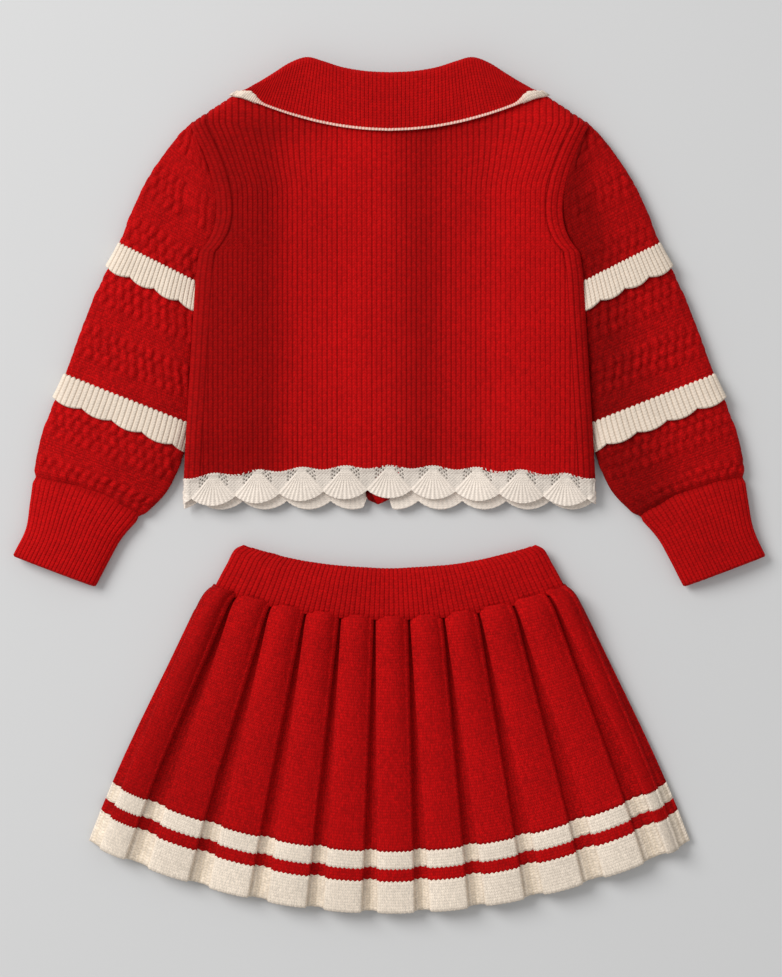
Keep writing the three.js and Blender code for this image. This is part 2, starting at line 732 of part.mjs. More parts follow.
function makeSkirtSeam(side) {
  const [low, high] = SKIRT_Z;
  const layer = [low + SKIRT_LAYER + GAP, high - SKIRT_LAYER - GAP];
  const edge = bend(at(WAIST_CORNER), at(SKIRT_BOW), at(HEM_CORNER));
  const outer = edge.map((p) => new THREE.Vector2(p.x - 2 * SEAM_INSET, p.y - SEAM_WIDTH));
  const inner = outer.map((p) => new THREE.Vector2(p.x - SEAM_WIDTH, p.y)).reverse();
  return node(`${sideName(side)}_skirt_seam`, slab(sided([...outer, ...inner], side), layer), RED);
}

// Assembly

const cheerUniform = new THREE.Group();
const LEFT = -1;
const RIGHT = 1;

cheerUniform.add(makeBackPanel(), makeBackLace(), makeCollarStand());
cheerUniform.add(makeCollarFall(), makeCollarFallTrim());

for (const side of [LEFT, RIGHT]) {
  cheerUniform.add(
    makeFrontSide(side),
    makeSideSeam(side),
    makeShoulderSeam(side),
    makeFrontLace(side, 'side', FRONT_FOLD_X + GAP, HEM_HALF),
    makeCollarWrap(side),
    makeWrapTrim(side),
    makeSleeveCap(side),
    ...makeSleeve(side),
    makeFrontPanel(side),
    makePlacket(side),
    makeFrontLace(side, 'front', PLACKET_HALF + GAP, FRONT_FOLD_X - GAP),
    makeCollarLeaf(side),
    makeLeafTrim(side),
    makeSkirtSeam(side),
  );
}

for (let i = 0; i < BUTTON_COUNT; i += 1) {
  cheerUniform.add(makeButton(i));
}

cheerUniform.add(makeWaistband(), makeElastic());
cheerUniform.add(...makeSkirtLayer('back'), ...makeSkirtLayer('front'));

export default cheerUniform;
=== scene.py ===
"""Knitted cheer set, laid flat face down: a collared cardigan above a pleated skirt.

Shapes are worked out in millimetres in the frame's own axes and written to meshes in metres.
side is -1 for the wearer's left sleeve (at -X) and +1 for the right one.
"""

import json
import math

import bpy
import numpy as np
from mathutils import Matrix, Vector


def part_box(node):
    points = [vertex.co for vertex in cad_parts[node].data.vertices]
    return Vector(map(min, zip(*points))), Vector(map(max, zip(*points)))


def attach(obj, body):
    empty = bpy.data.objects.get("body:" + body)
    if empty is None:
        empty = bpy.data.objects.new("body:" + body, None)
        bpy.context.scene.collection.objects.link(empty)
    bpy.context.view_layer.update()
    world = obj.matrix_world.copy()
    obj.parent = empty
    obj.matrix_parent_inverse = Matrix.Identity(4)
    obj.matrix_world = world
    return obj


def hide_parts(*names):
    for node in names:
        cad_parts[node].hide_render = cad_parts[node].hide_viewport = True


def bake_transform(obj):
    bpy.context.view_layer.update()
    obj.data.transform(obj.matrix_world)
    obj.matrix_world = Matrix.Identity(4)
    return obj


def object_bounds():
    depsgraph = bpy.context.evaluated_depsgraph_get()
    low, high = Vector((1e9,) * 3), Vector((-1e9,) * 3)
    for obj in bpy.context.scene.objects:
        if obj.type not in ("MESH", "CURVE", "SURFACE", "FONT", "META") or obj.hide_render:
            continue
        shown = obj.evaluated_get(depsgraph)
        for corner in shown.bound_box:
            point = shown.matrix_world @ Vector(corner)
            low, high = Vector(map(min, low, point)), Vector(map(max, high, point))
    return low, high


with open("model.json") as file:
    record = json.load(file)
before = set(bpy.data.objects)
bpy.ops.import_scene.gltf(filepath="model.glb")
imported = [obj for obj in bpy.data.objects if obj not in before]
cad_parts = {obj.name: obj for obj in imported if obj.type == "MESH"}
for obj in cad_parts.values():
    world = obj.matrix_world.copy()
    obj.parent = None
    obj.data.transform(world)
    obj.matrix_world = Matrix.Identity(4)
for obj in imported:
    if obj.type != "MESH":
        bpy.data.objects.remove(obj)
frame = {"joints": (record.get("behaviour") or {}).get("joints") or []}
cad_low, cad_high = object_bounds()

MM = 0.001
SIDES = {-1: "left", 1: "right"}


# ---- places from the frame

def box_mm(node):
    return np.array(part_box(node)) / MM


def joint_place(name, axis):
    """How far a joint's axis lies from the middle along X (0) or Y (1), in metres."""
    return abs(next(j for j in frame["joints"] if j["name"] == name)["pos_m"][axis])


def bend_across(body, fold, reach, height):
    """The cardigan, a body and two points in metres either side of x = fold, for cloth lying across that
    fold.
    """
    return "cardigan", body, (fold - reach, 0.1, height), (fold + reach, 0.1, height)


SLEEVE_FOLD, FRONT_FOLD = joint_place("right_sleeve_fold", 0), joint_place("right_front_open", 0)
SLEEVE_BEND = {side: bend_across(f"{name}_sleeve", side * SLEEVE_FOLD, side * 0.012, 0.007)
               for side, name in SIDES.items()}
FRONT_BEND = {side: bend_across(f"{name}_front", side * FRONT_FOLD, side * -0.008, 0.003)
              for side, name in SIDES.items()}
COLLAR_FOLD = joint_place("collar_turn_up", 1)
COLLAR_BEND = "cardigan", "collar", (0, COLLAR_FOLD + 0.001, 0.018), (0, COLLAR_FOLD - 0.022, 0.018)

back_low, back_high = box_mm("back_panel")
hem_low, hem_high = box_mm("back_hem_stripe")
cuff_low, cuff_high = box_mm("right_cuff")

HEM_HALF = back_high[0]
HEM_SIDE_Y = back_low[1]
HEM_MID_Y = HEM_SIDE_Y + 9.5
SKIRT_HEM_Y = hem_low[1]
SKIRT_HALF = hem_high[0]

# ---- garment measures, mm

BACK_TOP_Z = back_high[2] + 0.9
CLOTH = 2.6
RIB = 4.2
RIB_DEPTH = 0.75
COURSE = 2.5
UNDERARM = (162.0, 198.0)
ARMHOLE = (147.3, 240.0)
SHOULDER = (170.0, 306.0)
COLLAR_TIP = (131.0, 331.5)
NECK_POINT = (66.0, 343.0)
BACK_NECK_Y = 320.0
FRONT_NECK_Y = 283.0
SCALLOP = 37.4

# Where a rib is sampled across its width
RIB_PHASES = np.array([0.0, 0.08, 0.22, 0.5, 0.78, 0.92])

# How square a flattened tube of cloth is in section: 2 is an ellipse
ROUND_POWER = 2.4
WAIST_POWER = 2.6


# ---- curves, grids and noise

def unit(x):
    return np.clip(x, 0.0, 1.0)


def smoothstep(low, high, x):
    t = unit((x - low) / (high - low))
    return t * t * (3 - 2 * t)


def lerp(a, b, t):
    return a + (b - a) * t


def wave(turns):
    """Goes from 1 down to 0 and back once a turn."""
    return 0.5 + 0.5 * np.cos(2 * np.pi * turns)


def hump(x, middle, width):
    return np.exp(-((x - middle) / width) ** 2)


def curve(points, count=400):
    """A Catmull-Rom curve through the points, as count points."""
    p = np.array(points, float)
    p = np.vstack([2 * p[0] - p[1], p, 2 * p[-1] - p[-2]])
    t = np.linspace(0, len(points) - 1, count)
    i = np.minimum(t.astype(int), len(points) - 2)
    f = (t - i)[:, None]
    a, b, c, d = p[i], p[i + 1], p[i + 2], p[i + 3]
    return 0.5 * (2 * b + (c - a) * f + (2 * a - 5 * b + 4 * c - d) * f**2
                  + (3 * b - 3 * c + d - a) * f**3)


def squircle(turn, power):
    """A flattened round section: how far across (1 to -1) and how high (-1 to 1) it is at each turn."""
    c, s = np.cos(2 * np.pi * turn), np.sin(2 * np.pi * turn)
    return np.sign(c) * np.abs(c) ** (2 / power), np.sign(s) * np.abs(s) ** (2 / power)


def turned_down(share):
    """How far a rounded edge has turned down: 0 inwards from a share of 1, nearly 1 at the edge."""
    return 1 - np.sqrt(1 - np.clip(1 - share, 0, 0.98) ** 2)


def grid(*parts):
    """A grid of points or UVs from coordinates that are each a column, a row or whole."""
    return np.stack(np.broadcast_arrays(*parts), -1)


def down(rows, first=0.0, last=1.0):
    """Shares down a piece, one for each row of its grid."""
    return np.linspace(first, last, rows)[None, :]


def knit(wales, length):
    """UV of a knit: u counts wales or ribs, and v the courses along a length in mm."""
    return grid(wales, length / COURSE)


def along(points, share):
    """Points at shares 0 to 1 of a polyline's index range."""
    index = np.linspace(0, 1, len(points))
    return np.stack([np.interp(share, index, column) for column in points.T], -1)


def value_noise(x, y, seed):
    """Smooth noise from -1 to 1 on a lattice with one cell per unit."""
    xi, yi = np.floor(x), np.floor(y)
    fx, fy = x - xi, y - yi
    fx, fy = fx * fx * (3 - 2 * fx), fy * fy * (3 - 2 * fy)

    def corner(i, j):
        n = np.sin((xi + i) * 127.1 + (yi + j) * 311.7 + seed * 74.7) * 43758.5453
        return 2 * (n - np.floor(n)) - 1

    top = corner(0, 0) * (1 - fx) + corner(1, 0) * fx
    low = corner(0, 1) * (1 - fx) + corner(1, 1) * fx
    return top * (1 - fy) + low * fy


def rib_height(phase):
    """0 in the valley between two ribs, 1 over most of each rib."""
    p = np.abs(phase - np.floor(phase) - 0.5) * 2
    return (1 - p**4) ** 0.8


def rib_columns(count):
    """A column of rib coordinates, sampled where a rib's profile needs it."""
    whole = (np.arange(count)[:, None] + RIB_PHASES[None, :]).ravel()
    return np.append(whole, count)[:, None]


# ---- meshes

def put(name, data, place=(0, 0, 0)):
    """Adds an object to the scene, at a place in metres."""
    obj = bpy.data.objects.new(name, data)
    obj.location = place
    bpy.context.scene.collection.objects.link(obj)
    return obj


def on_floor(points):
    """Flattens what would sink below the floor."""
    soft = 2.0
    z = points[:, 2]
    z = np.where(z < soft, soft * np.exp((np.minimum(z, soft) - soft) / soft), z)
    return np.column_stack([points[:, :2], z])


def add_mesh(name, points, quads, uvs, shade_and_pattern, caps=()):
    """A mesh object from points in mm, quads, UVs of the quads' corners and a value for each point that sets
    its painted shade and, on the collar's edge, its pink chain.
    """
    points = on_floor(points)
    a, b, c, d = np.moveaxis(points[quads], 1, 0)
    volume = np.einsum("ij,ij->", a, np.cross(b, c) + np.cross(c, d))
    way = -1 if volume < 0 else 1
    faces = quads[:, ::way].tolist() + [cap[::way].tolist() for cap in caps]
    mesh = bpy.data.meshes.new(name)
    mesh.from_pydata((points * MM).tolist(), [], faces, shade_flat=False)
    flat = np.zeros((len(mesh.loops), 2), np.float32)
    flat[:quads.size] = uvs[:, ::way].reshape(-1, 2)
    mesh.uv_layers.new(name="knit").data.foreach_set("uv", flat.ravel())
    # Painted shade: the yarn materials turn to their shadow colour where this point value is low.
    height = mesh.attributes.new("shade_and_pattern", "FLOAT", "POINT")
    height.data.foreach_set("value", shade_and_pattern.astype(np.float32).ravel())
    mesh.validate()
    return put(name, mesh)


def loft(name, rings, uv, shade_and_pattern, wrap):
    """A closed body from closed rings of points: rings[i, k] is point k of ring i.

    wrap joins the last ring to the first, as round a sleeve; otherwise both ends are capped."""
    count, size = rings.shape[:2]
    i, k = np.arange(count if wrap else count - 1)[:, None], np.arange(size)
    j, m = (i + 1) % count, (k + 1) % size
    quads = np.stack([i * size + k, j * size + k, j * size + m, i * size + m], -1).reshape(-1, 4)
    wide = np.concatenate([uv, uv[:1] + np.array([uv[-1, 0, 0] - uv[0, 0, 0] + 1, 0])]) if wrap else uv
    wide = np.concatenate([wide, wide[:, -1:]], 1)
    n = len(i)
    corners = np.stack([wide[:n, :size], wide[1:n + 1, :size], wide[1:n + 1, 1:size + 1],
                        wide[:n, 1:size + 1]], 2).reshape(-1, 4, 2)
    caps = [] if wrap else [np.arange(size), (count - 1) * size + np.arange(size)[::-1]]
    return add_mesh(name, rings.reshape(-1, 3), quads, corners, shade_and_pattern.ravel(), caps)


def normals(p, around=False):
    """Unit normals of a grid; around says that its first axis goes round a tube."""
    du = np.roll(p, -1, 0) - np.roll(p, 1, 0) if around else np.gradient(p, axis=0)
    dv = np.gradient(p, axis=1)
    n = np.cross(du, dv)
    return n / np.maximum(np.linalg.norm(n, axis=-1, keepdims=True), 1e-9)


def cloth(name, base, lift, thickness, uv, shade_and_pattern, under_rows=10, around=False, outward=1, rims=(0.45, 0.45)):
    """A closed sheet of cloth: base is its smooth middle surface, lift raises its right side into ribs.

    rims is how far its first and last edges are rounded outwards, as a share of the thickness."""
    columns, rows = base.shape[:2]
    lift, shade_and_pattern = np.broadcast_to(lift, (columns, rows)), np.broadcast_to(shade_and_pattern, (columns, rows))
    n = normals(base, around) * outward
    top = base + n * lift[..., None]
    pick = np.unique(np.linspace(0, rows - 1, under_rows).round().astype(int))[::-1]
    under = base[:, pick] - n[:, pick] * thickness

    def edge(row, inner, rim):
        out = base[:, row] - base[:, inner]
        out = out / np.maximum(np.linalg.norm(out, axis=-1, keepdims=True), 1e-9)
        middle = base[:, row] + n[:, row] * (lift[:, row, None] - thickness) * 0.5
        return (middle + out * thickness * rim)[:, None]

    rings = np.concatenate([top, edge(rows - 1, rows - 2, rims[1]), under, edge(0, 1, rims[0])], 1)
    uvs = np.concatenate([uv, uv[:, -1:], uv[:, pick], uv[:, :1]], 1)
    # The underside takes a little painted shade.
    low = np.full((columns, len(pick)), 0.8)
    ring_shade_and_pattern = np.concatenate([shade_and_pattern, shade_and_pattern[:, -1:], low, shade_and_pattern[:, :1]], 1)
    return loft(name, rings, uvs, ring_shade_and_pattern, around)


# ---- materials

class Nodes:
    """Small helper that adds and links shader nodes."""

    def __init__(self, name):
        self.material = bpy.data.materials.new(name)
        self.material.use_nodes = True
        self.tree = self.material.node_tree
        self.shader = self.tree.nodes["Principled BSDF"]

    def link(self, output, name):
        self.tree.links.new(output, self.shader.inputs[name])

    def add(self, kind, inputs=None, **settings):
        node = self.tree.nodes.new(kind)
        for key, value in settings.items():
            setattr(node, key, value)
        for key, value in (inputs or {}).items():
            if isinstance(value, bpy.types.NodeSocket):
                self.tree.links.new(value, node.inputs[key])
            else:
                node.inputs[key].default_value = value
        return node

    def place(self):
        return self.add("ShaderNodeTexCoord").outputs["Object"]

    def math(self, operation, a, b=0.0, c=0.0):
        return self.add("ShaderNodeMath", {0: a, 1: b, 2: c}, operation=operation).outputs[0]

    def vector(self, operation, inputs):
        return self.add("ShaderNodeVectorMath", inputs, operation=operation).outputs[0]

    def noise(self, vector, scale, detail=2.0, roughness=0.5):
        node = self.add("ShaderNodeTexNoise", {"Vector": vector, "Scale": scale, "Detail": detail,
                                               "Roughness": roughness})
        return node.outputs["Fac"]

    def range(self, value, low, high, to_low, to_high):
        node = self.add("ShaderNodeMapRange", {0: value, 1: low, 2: high, 3: to_low, 4: to_high})
        return node.outputs[0]


def stitches(g, slant):
    """The height of V stitches, where u counts wales and v courses, and a shade for each stitch."""
    uv = g.add("ShaderNodeUVMap", uv_map="knit").outputs["UV"]
    place = g.place()
    stray = g.add("ShaderNodeTexNoise", {"Vector": place, "Scale": 260.0, "Detail": 1.0}).outputs["Color"]
    bend = g.vector("SUBTRACT", {0: stray, 1: (0.5, 0.5, 0.5)})
    bent = g.vector("MULTIPLY_ADD", {0: bend, 1: (0.55, 0.55, 0.0), 2: uv})
    split = g.add("ShaderNodeSeparateXYZ", {0: bent}).outputs
    arm = g.math("ABSOLUTE", g.math("SUBTRACT", g.math("FRACT", split[0]), 0.5))
    rise = g.math("MULTIPLY_ADD", arm, slant, split[1])
    loop = g.math("MULTIPLY", g.math("ABSOLUTE", g.math("SUBTRACT", g.math("FRACT", rise), 0.5)), 2.0)
    body = g.math("SUBTRACT", 1.0, g.math("POWER", loop, 2.2))
    middle = g.math("SUBTRACT", g.math("MULTIPLY", arm, 4.0), 1.0)
    leg = g.math("MULTIPLY_ADD", g.math("MULTIPLY", middle, middle), -0.5, 1.0)
    cell = g.add("ShaderNodeCombineXYZ", {0: g.math("FLOOR", g.math("MULTIPLY", split[0], 2.0)),
                                          1: g.math("FLOOR", rise)}).outputs[0]
    shade = g.add("ShaderNodeTexWhiteNoise", {0: cell}, noise_dimensions="2D").outputs["Value"]
    return g.math("MULTIPLY", body, leg), shade


def yarn(name, colour, shadow, slant=0.9, depth=0.0003, fibre=0.00016, speck=0.10):
    """Knitted yarn: V stitches, loose fibres and uneven dye, with painted shade in the gaps between stitches
    and wherever the mesh's shade value is low, as in the valleys between the ribs.
    """
    g = Nodes(name)
    place = g.place()
    stitch, shade = stitches(g, slant)
    # Painted shade: low values of this point attribute turn the yarn to its shadow colour; on the collar's
    # edge they also draw the pink chain.
    shade_and_pattern = g.add("ShaderNodeAttribute", attribute_name="shade_and_pattern", attribute_type="GEOMETRY").outputs["Fac"]
    cloudy = g.noise(place, 22.0, 3.0)
    speckle = g.noise(place, 620.0, 3.0, 0.7)
    fuzz = g.noise(place, 1900.0, 2.0, 0.7)
    light = g.range(cloudy, 0.3, 0.7, 0.95, 1.05)
    # Dye clouds, speckle and a tone for each stitch vary at random; the stitch term paints shade in the gaps
    # between stitches and a little light on their loops.
    for value, low, high, darker, lighter in ((speckle, 0.3, 0.7, 1.0, 1.0), (stitch, 0.0, 0.8, 1.1, 0.3),
                                              (shade, 0.0, 1.0, 0.9, 0.9)):
        light = g.math("MULTIPLY", light, g.range(value, low, high, 1 - darker * speck, 1 + lighter * speck))
    mix = g.add("ShaderNodeMix", {0: shade_and_pattern, 6: (*shadow, 1), 7: (*colour, 1)}, data_type="RGBA")
    g.link(g.vector("SCALE", {0: mix.outputs[2], "Scale": light}), "Base Color")
    fine = g.math("ADD", g.math("MULTIPLY", speckle, 0.7), g.math("MULTIPLY", fuzz, 0.3))
    bump1 = g.add("ShaderNodeBump", {"Strength": 0.8, "Distance": depth, "Height": stitch})
    bump2 = g.add("ShaderNodeBump", {"Strength": 0.9, "Distance": fibre, "Height": fine,
                                     "Normal": bump1.outputs[0]})
    g.link(bump2.outputs[0], "Normal")
    g.link(g.range(speckle, 0.3, 0.7, 0.82, 0.97), "Roughness")
    g.shader.inputs["Specular IOR Level"].default_value = 0.08
    g.shader.inputs["Sheen Weight"].default_value = 0.04
    g.shader.inputs["Sheen Roughness"].default_value = 0.5
    g.shader.inputs["Sheen Tint"].default_value = (*[min(1.0, c * 1.6) for c in colour], 1)
    return g.material


RED_COLOUR = (0.455, 0.0030, 0.0034)
RED_SHADOW = (0.22, 0.0012, 0.0010)
CREAM_COLOUR = (0.80, 0.71, 0.585)
CREAM_SHADOW = (0.60, 0.48, 0.34)
FRILL_COLOUR = (0.77, 0.655, 0.54)
FRILL_SHADOW = (0.50, 0.38, 0.28)
LACE_COLOUR = (0.84, 0.74, 0.645)
LACE_SHADOW = (0.50, 0.455, 0.41)
PLAIN_COLOUR = (0.87, 0.755, 0.635)
EDGE_SHADOW = (0.62, 0.15, 0.13)
ELASTIC_COLOUR = (0.72, 0.71, 0.68)
ELASTIC_SHADOW = (0.5, 0.49, 0.46)
BUTTON_COLOUR = (0.80, 0.74, 0.64)

# Each finish is a material and a slot name.
red_rib = yarn("red_rib_yarn", RED_COLOUR, RED_SHADOW, speck=0.13), "red_rib_knit"
red_blister = yarn("red_blister_yarn", RED_COLOUR, RED_SHADOW, fibre=0.0004, speck=0.22), "red_blister_knit"
red_plain = yarn("red_plain_yarn", RED_COLOUR, RED_SHADOW, depth=0.0004, speck=0.22), "red_plain_knit"
cream_rib = yarn("cream_rib_yarn", FRILL_COLOUR, FRILL_SHADOW, speck=0.04), "cream_rib"
cream_lace = yarn("cream_lace_yarn", LACE_COLOUR, LACE_SHADOW, speck=0.05), "cream_lace"
cream_plain = yarn("cream_plain_yarn", PLAIN_COLOUR, CREAM_SHADOW, depth=0.0004, speck=0.11), "cream_knit"
cream_edge = yarn("cream_edge_yarn", CREAM_COLOUR, EDGE_SHADOW, speck=0.06), "cream_knit"
elastic_weave = yarn("elastic_weave", ELASTIC_COLOUR, ELASTIC_SHADOW, slant=0.0, speck=0.05), "elastic"


def plastic(name, colour):
    """Glossy moulded plastic with a faint waviness."""
    g = Nodes(name)
    place = g.place()
    wavy = g.noise(place, 240.0, 2.0)
    bump = g.add("ShaderNodeBump", {"Strength": 0.3, "Distance": 0.0001, "Height": wavy})
    g.link(bump.outputs[0], "Normal")
    g.link(g.range(wavy, 0.3, 0.7, 0.25, 0.36), "Roughness")
    g.shader.inputs["Base Color"].default_value = (*colour, 1)
    g.shader.inputs["Coat Weight"].default_value = 0.4
    return g.material


button_shell = plastic("button_shell", BUTTON_COLOUR), "button"


def finish_piece(obj, finish, body=None, blend=None, replaces=()):
    material, slot = finish
    obj.data.materials.append(material)
    if blend:
        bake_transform(obj)
    else:
        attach(obj, body)
    if replaces:
        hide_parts(*replaces)
    return obj


# ---- cardigan body

def hem_y(x):
    return HEM_MID_Y + (HEM_SIDE_Y - HEM_MID_Y) * (x / HEM_HALF) ** 2


def fan_bulge(x):
    """The hem line rises a little above the middle of each scallop."""
    return 1.5 * np.cos(2 * np.pi * x / SCALLOP)


def body_half_width(y):
    """How far the body's edge is from its middle at a height y."""
    a, b, c = np.array(UNDERARM), np.array(ARMHOLE), np.array(SHOULDER)
    control = 2 * b - (a + c) / 2
    t = np.linspace(0, 1, 60)[:, None]
    arm = (1 - t) ** 2 * a + 2 * t * (1 - t) * control + t * t * c
    xs, ys = np.vstack([[(HEM_HALF + 2, -40.0), (HEM_HALF, HEM_SIDE_Y), (164.8, 178.5)], arm]).T
    return np.interp(y, ys, xs)


def shoulder_y(x):
    """The line of the shoulders and the back neckline above a given x."""
    ax = np.abs(x)
    line = np.interp(ax, [0, NECK_POINT[0], COLLAR_TIP[0], SHOULDER[0]],
                     [NECK_POINT[1], NECK_POINT[1], COLLAR_TIP[1], SHOULDER[1]])
    neck = lerp(BACK_NECK_Y, NECK_POINT[1], np.minimum(ax / NECK_POINT[0], 1) ** 3)
    return np.where(ax < NECK_POINT[0], neck, line)


def side_rise(x):
    """The back lies higher near its sides, over the seams and the sleeves' tops."""
    return 2.6 * smoothstep(70, 135, np.abs(x))


def body_wave(x, y):
    """The soft unevenness of cloth that lies on itself, with two long shallow folds."""
    uneven = 0.7 * value_noise(x / 62 + 3.1, y / 90 + 1.7, 1) + 0.3 * value_noise(x / 24, y / 60, 2)
    folds = 1.5 * hump(x, -40, 34) + 1.7 * hump(x, 108, 30)
    return uneven + side_rise(x) + folds * smoothstep(325, 255, y)


def body_shade(x, y):
    """Painted shade in the hollows beside the armholes, right of the middle and along the collar's edge, a
    little painted shade over all the back, and painted light in two lit bands.
    """
    left = 0.54 * smoothstep(-78, -108, x) * smoothstep(-205, -150, x)
    middle = 0.36 * hump(x, 28, 17)
    right = 0.20 * smoothstep(140, 165, x)
    upper = 0.25 * hump(y, 305, 12) * smoothstep(150, 110, np.abs(x))
    lit = hump(x, 118, 32) + 0.8 * hump(x, -28, 22)
    return (left + middle + right) * smoothstep(335, 285, y) + upper + 0.16 - 0.42 * lit


def hem_sag(above_hem):
    """How much lower the cloth lies near its hem, where nothing thick is under it."""
    return 5.2 * smoothstep(46, -6, above_hem)


def body_ribs(x, y):
    """Rib coordinate over the back: straight down the middle, and a few ribs along each edge."""
    half = body_half_width(y)
    inside = (half - np.abs(x)) * 0.96
    edge_ribs = 3
    along_edge = np.sign(x) * (200 - inside / 4.7)
    lean = (half - ARMHOLE[0]) * (1 - smoothstep(0, 115, inside)) * smoothstep(ARMHOLE[1], ARMHOLE[1] + 30, y)
    straight = (x - np.sign(x) * lean) / RIB + 0.5
    return np.where(inside < edge_ribs * 4.7, along_edge, straight)


def make_back():
    u = np.linspace(-1, 1, 520)[:, None]
    hem = hem_y(u * HEM_HALF) + fan_bulge(u * HEM_HALF)
    top = shoulder_y(u * SHOULDER[0])
    y = lerp(hem, top, down(150))
    half = body_half_width(y)
    straight = HEM_HALF - 6
    x = u * straight + np.sign(u) * (half - straight) * smoothstep(0.35, 1.0, np.abs(u))
    inside = half - np.abs(x)
    below = 1 - smoothstep(UNDERARM[1] - 10, UNDERARM[1] + 25, y)
    on_shoulder = smoothstep(NECK_POINT[0] - 10, NECK_POINT[0] + 25, np.abs(x))
    z = BACK_TOP_Z + body_wave(x, y) * smoothstep(0, 12, inside) - hem_sag(y - hem)
    z = z - turned_down(inside / 5.5) * (1.4 + 4.6 * below) - turned_down((top - y) / 7.0) * 7.0 * on_shoulder
    ribs = body_ribs(x, y)
    height = rib_height(ribs)
    wobble = 0.06 * value_noise(x / 9, y / 14, 5)
    seam_line = hump(inside * 0.96, 14.1, 1.3) * smoothstep(UNDERARM[1] - 30, UNDERARM[1], y)
    lift = height * RIB_DEPTH + wobble - 0.7 * seam_line
    # Painted shade in the rib valleys and along the side seams, plus the painted shade and light of
    # body_shade.
    shade_and_pattern = unit(height * (1 - 0.5 * seam_line) - body_shade(x, y))
    obj = cloth("cardigan_back", grid(x, y, z), lift, CLOTH, knit(ribs, y), shade_and_pattern, 14, rims=(0.1, 0.45))
    finish_piece(obj, red_rib, "cardigan",
                 replaces=["back_panel", "left_side_seam", "right_side_seam",
                           "left_shoulder_seam", "right_shoulder_seam"])


def make_front(side, name):
    """One front of the cardigan, from its side seam to its band."""
    ribs, inner = 38, 12.5
    r = rib_columns(ribs)
    x_top = lerp(inner, SHOULDER[0] - 1, r / ribs)
    to_neck = unit((x_top - inner) / (NECK_POINT[0] - inner))
    neck = lerp(FRONT_NECK_Y, NECK_POINT[1], to_neck**2.2)
    top = np.minimum(shoulder_y(np.maximum(x_top, NECK_POINT[0])), neck)
    y = lerp(hem_y(lerp(inner, HEM_HALF - 1, r / ribs)), top, down(40))
    half = body_half_width(y) - 1.2
    x = lerp(inner, half, r / ribs)
    over_other = 5.0 * smoothstep(38, 15, x) * (side < 0)
    seam = unit(1 - (half - x) / 6.0) ** 1.5
    z = 3.1 + over_other + 0.25 * value_noise(x / 30, y / 40, 8) + seam * 8.0
    height = rib_height(r)
    # Painted shade in the rib valleys.
    obj = cloth(f"{name}_front", grid(x * side, y, z), height * 0.5, 1.9, knit(r, y), height, outward=-side)
    finish_piece(obj, red_rib, blend=FRONT_BEND[side],
                 replaces=[f"{name}_front_side", f"{name}_front_panel"])


# ---- sleeves

SLEEVE_MID_Z = 7.4
SLEEVE_OUTER = [(168, 309.5), (186, 290.5), (204.5, 263), (218.5, 235), (230.5, 204), (254.5, 153),
                (277, 92.5), (296.5, 42), (303.5, 4)]
SLEEVE_INNER = [(164, 299), (147, 259), (143, 226), (147, 197), (157.5, 167.5), (164, 113),
                (169.5, 50), (187, -1), (214, -30)]
CUFF_OUTER = [(302.5, 8), (305.6, -16), (310, -38), (cuff_high[0], -59.5)]
CUFF_INNER = [(212, -26), (228.5, -45), (239, -63), (251, cuff_low[1] + 1)]
UPPER_SEAM_STATION = 4
LOWER_SEAM_STATION = 6


class Sleeve:
    """The flattened tube between an outer and an inner edge, measured along its middle."""

    def __init__(self, outer, inner):
        self.outer = curve(outer)
        self.inner = curve(inner)
        steps = np.linalg.norm(np.diff((self.outer + self.inner) / 2, axis=0), axis=1)
        self.length = np.append(0, np.cumsum(steps))
        self.stations = len(outer)

    def station(self, index):
        return along(self.length[:, None], index / (self.stations - 1))[0]

    def width(self, length):
        return np.interp(length, self.length, np.linalg.norm(self.outer - self.inner, axis=1))

    def points(self, turn, length, half_thickness, inner_power):
        """turn is 0 at the outer edge, 0.25 on top, 0.5 at the inner edge and 0.75 underneath."""
        on_outer_half = np.cos(2 * np.pi * turn) > 0
        far, height = squircle(turn, np.where(on_outer_half, ROUND_POWER, inner_power))
        across = 0.5 * (1 - far)
        x, y = (lerp(np.interp(length, self.length, self.outer[:, k]),
                     np.interp(length, self.length, self.inner[:, k]), across) for k in (0, 1))
        return grid(x, y, SLEEVE_MID_Z + height * half_thickness - 1.8 * across**4), across


arm = Sleeve(SLEEVE_OUTER, SLEEVE_INNER)
wrist = Sleeve(CUFF_OUTER, CUFF_INNER)
UPPER_SEAM = arm.station(UPPER_SEAM_STATION)
LOWER_SEAM = arm.station(LOWER_SEAM_STATION)
ARM_END = arm.length[-1]
FRILL_REACH = 21.0
# How often a band of puffs comes down a sleeve, how wide it is, its rows and the spacing of its puffs
BLISTER_PERIOD = 47.0
PUFF_BAND = 30.0
PUFF_ROWS = 3
PUFF_PITCH = 8.2
# The way from the sleeve to the hand
HAND_WAY = np.array([0.37, -0.93])


def even_turns(shares, half_width=45, half_height=6.5, power=ROUND_POWER):
    """The turns that have gone each share of the way round a flattened section."""
    t = np.linspace(0, 1, 4001)
    x, z = squircle(t, power)
    steps = np.hypot(np.diff(half_width * x), np.diff(half_height * z))
    far = np.append(0, np.cumsum(steps))
    return np.interp(shares * far[-1], far, t)


def bow_back(base, across, near):
    """Bows the seam between sleeve and cuff back towards the elbow, most in its middle."""
    base[..., :2] -= HAND_WAY * (6 * np.sin(np.pi * across) * near)[..., None]


def sleeve_thickness(length):
    """Half the sleeve's thickness: fuller towards the wrist, gathered in at the cuff."""
    swell = 5.4 + 1.3 * smoothstep(UPPER_SEAM, ARM_END - 25, length)
    cap = smoothstep(-6, 16, length)
    return swell * (0.55 + 0.45 * cap) - 0.9 * smoothstep(ARM_END - 12, ARM_END, length)


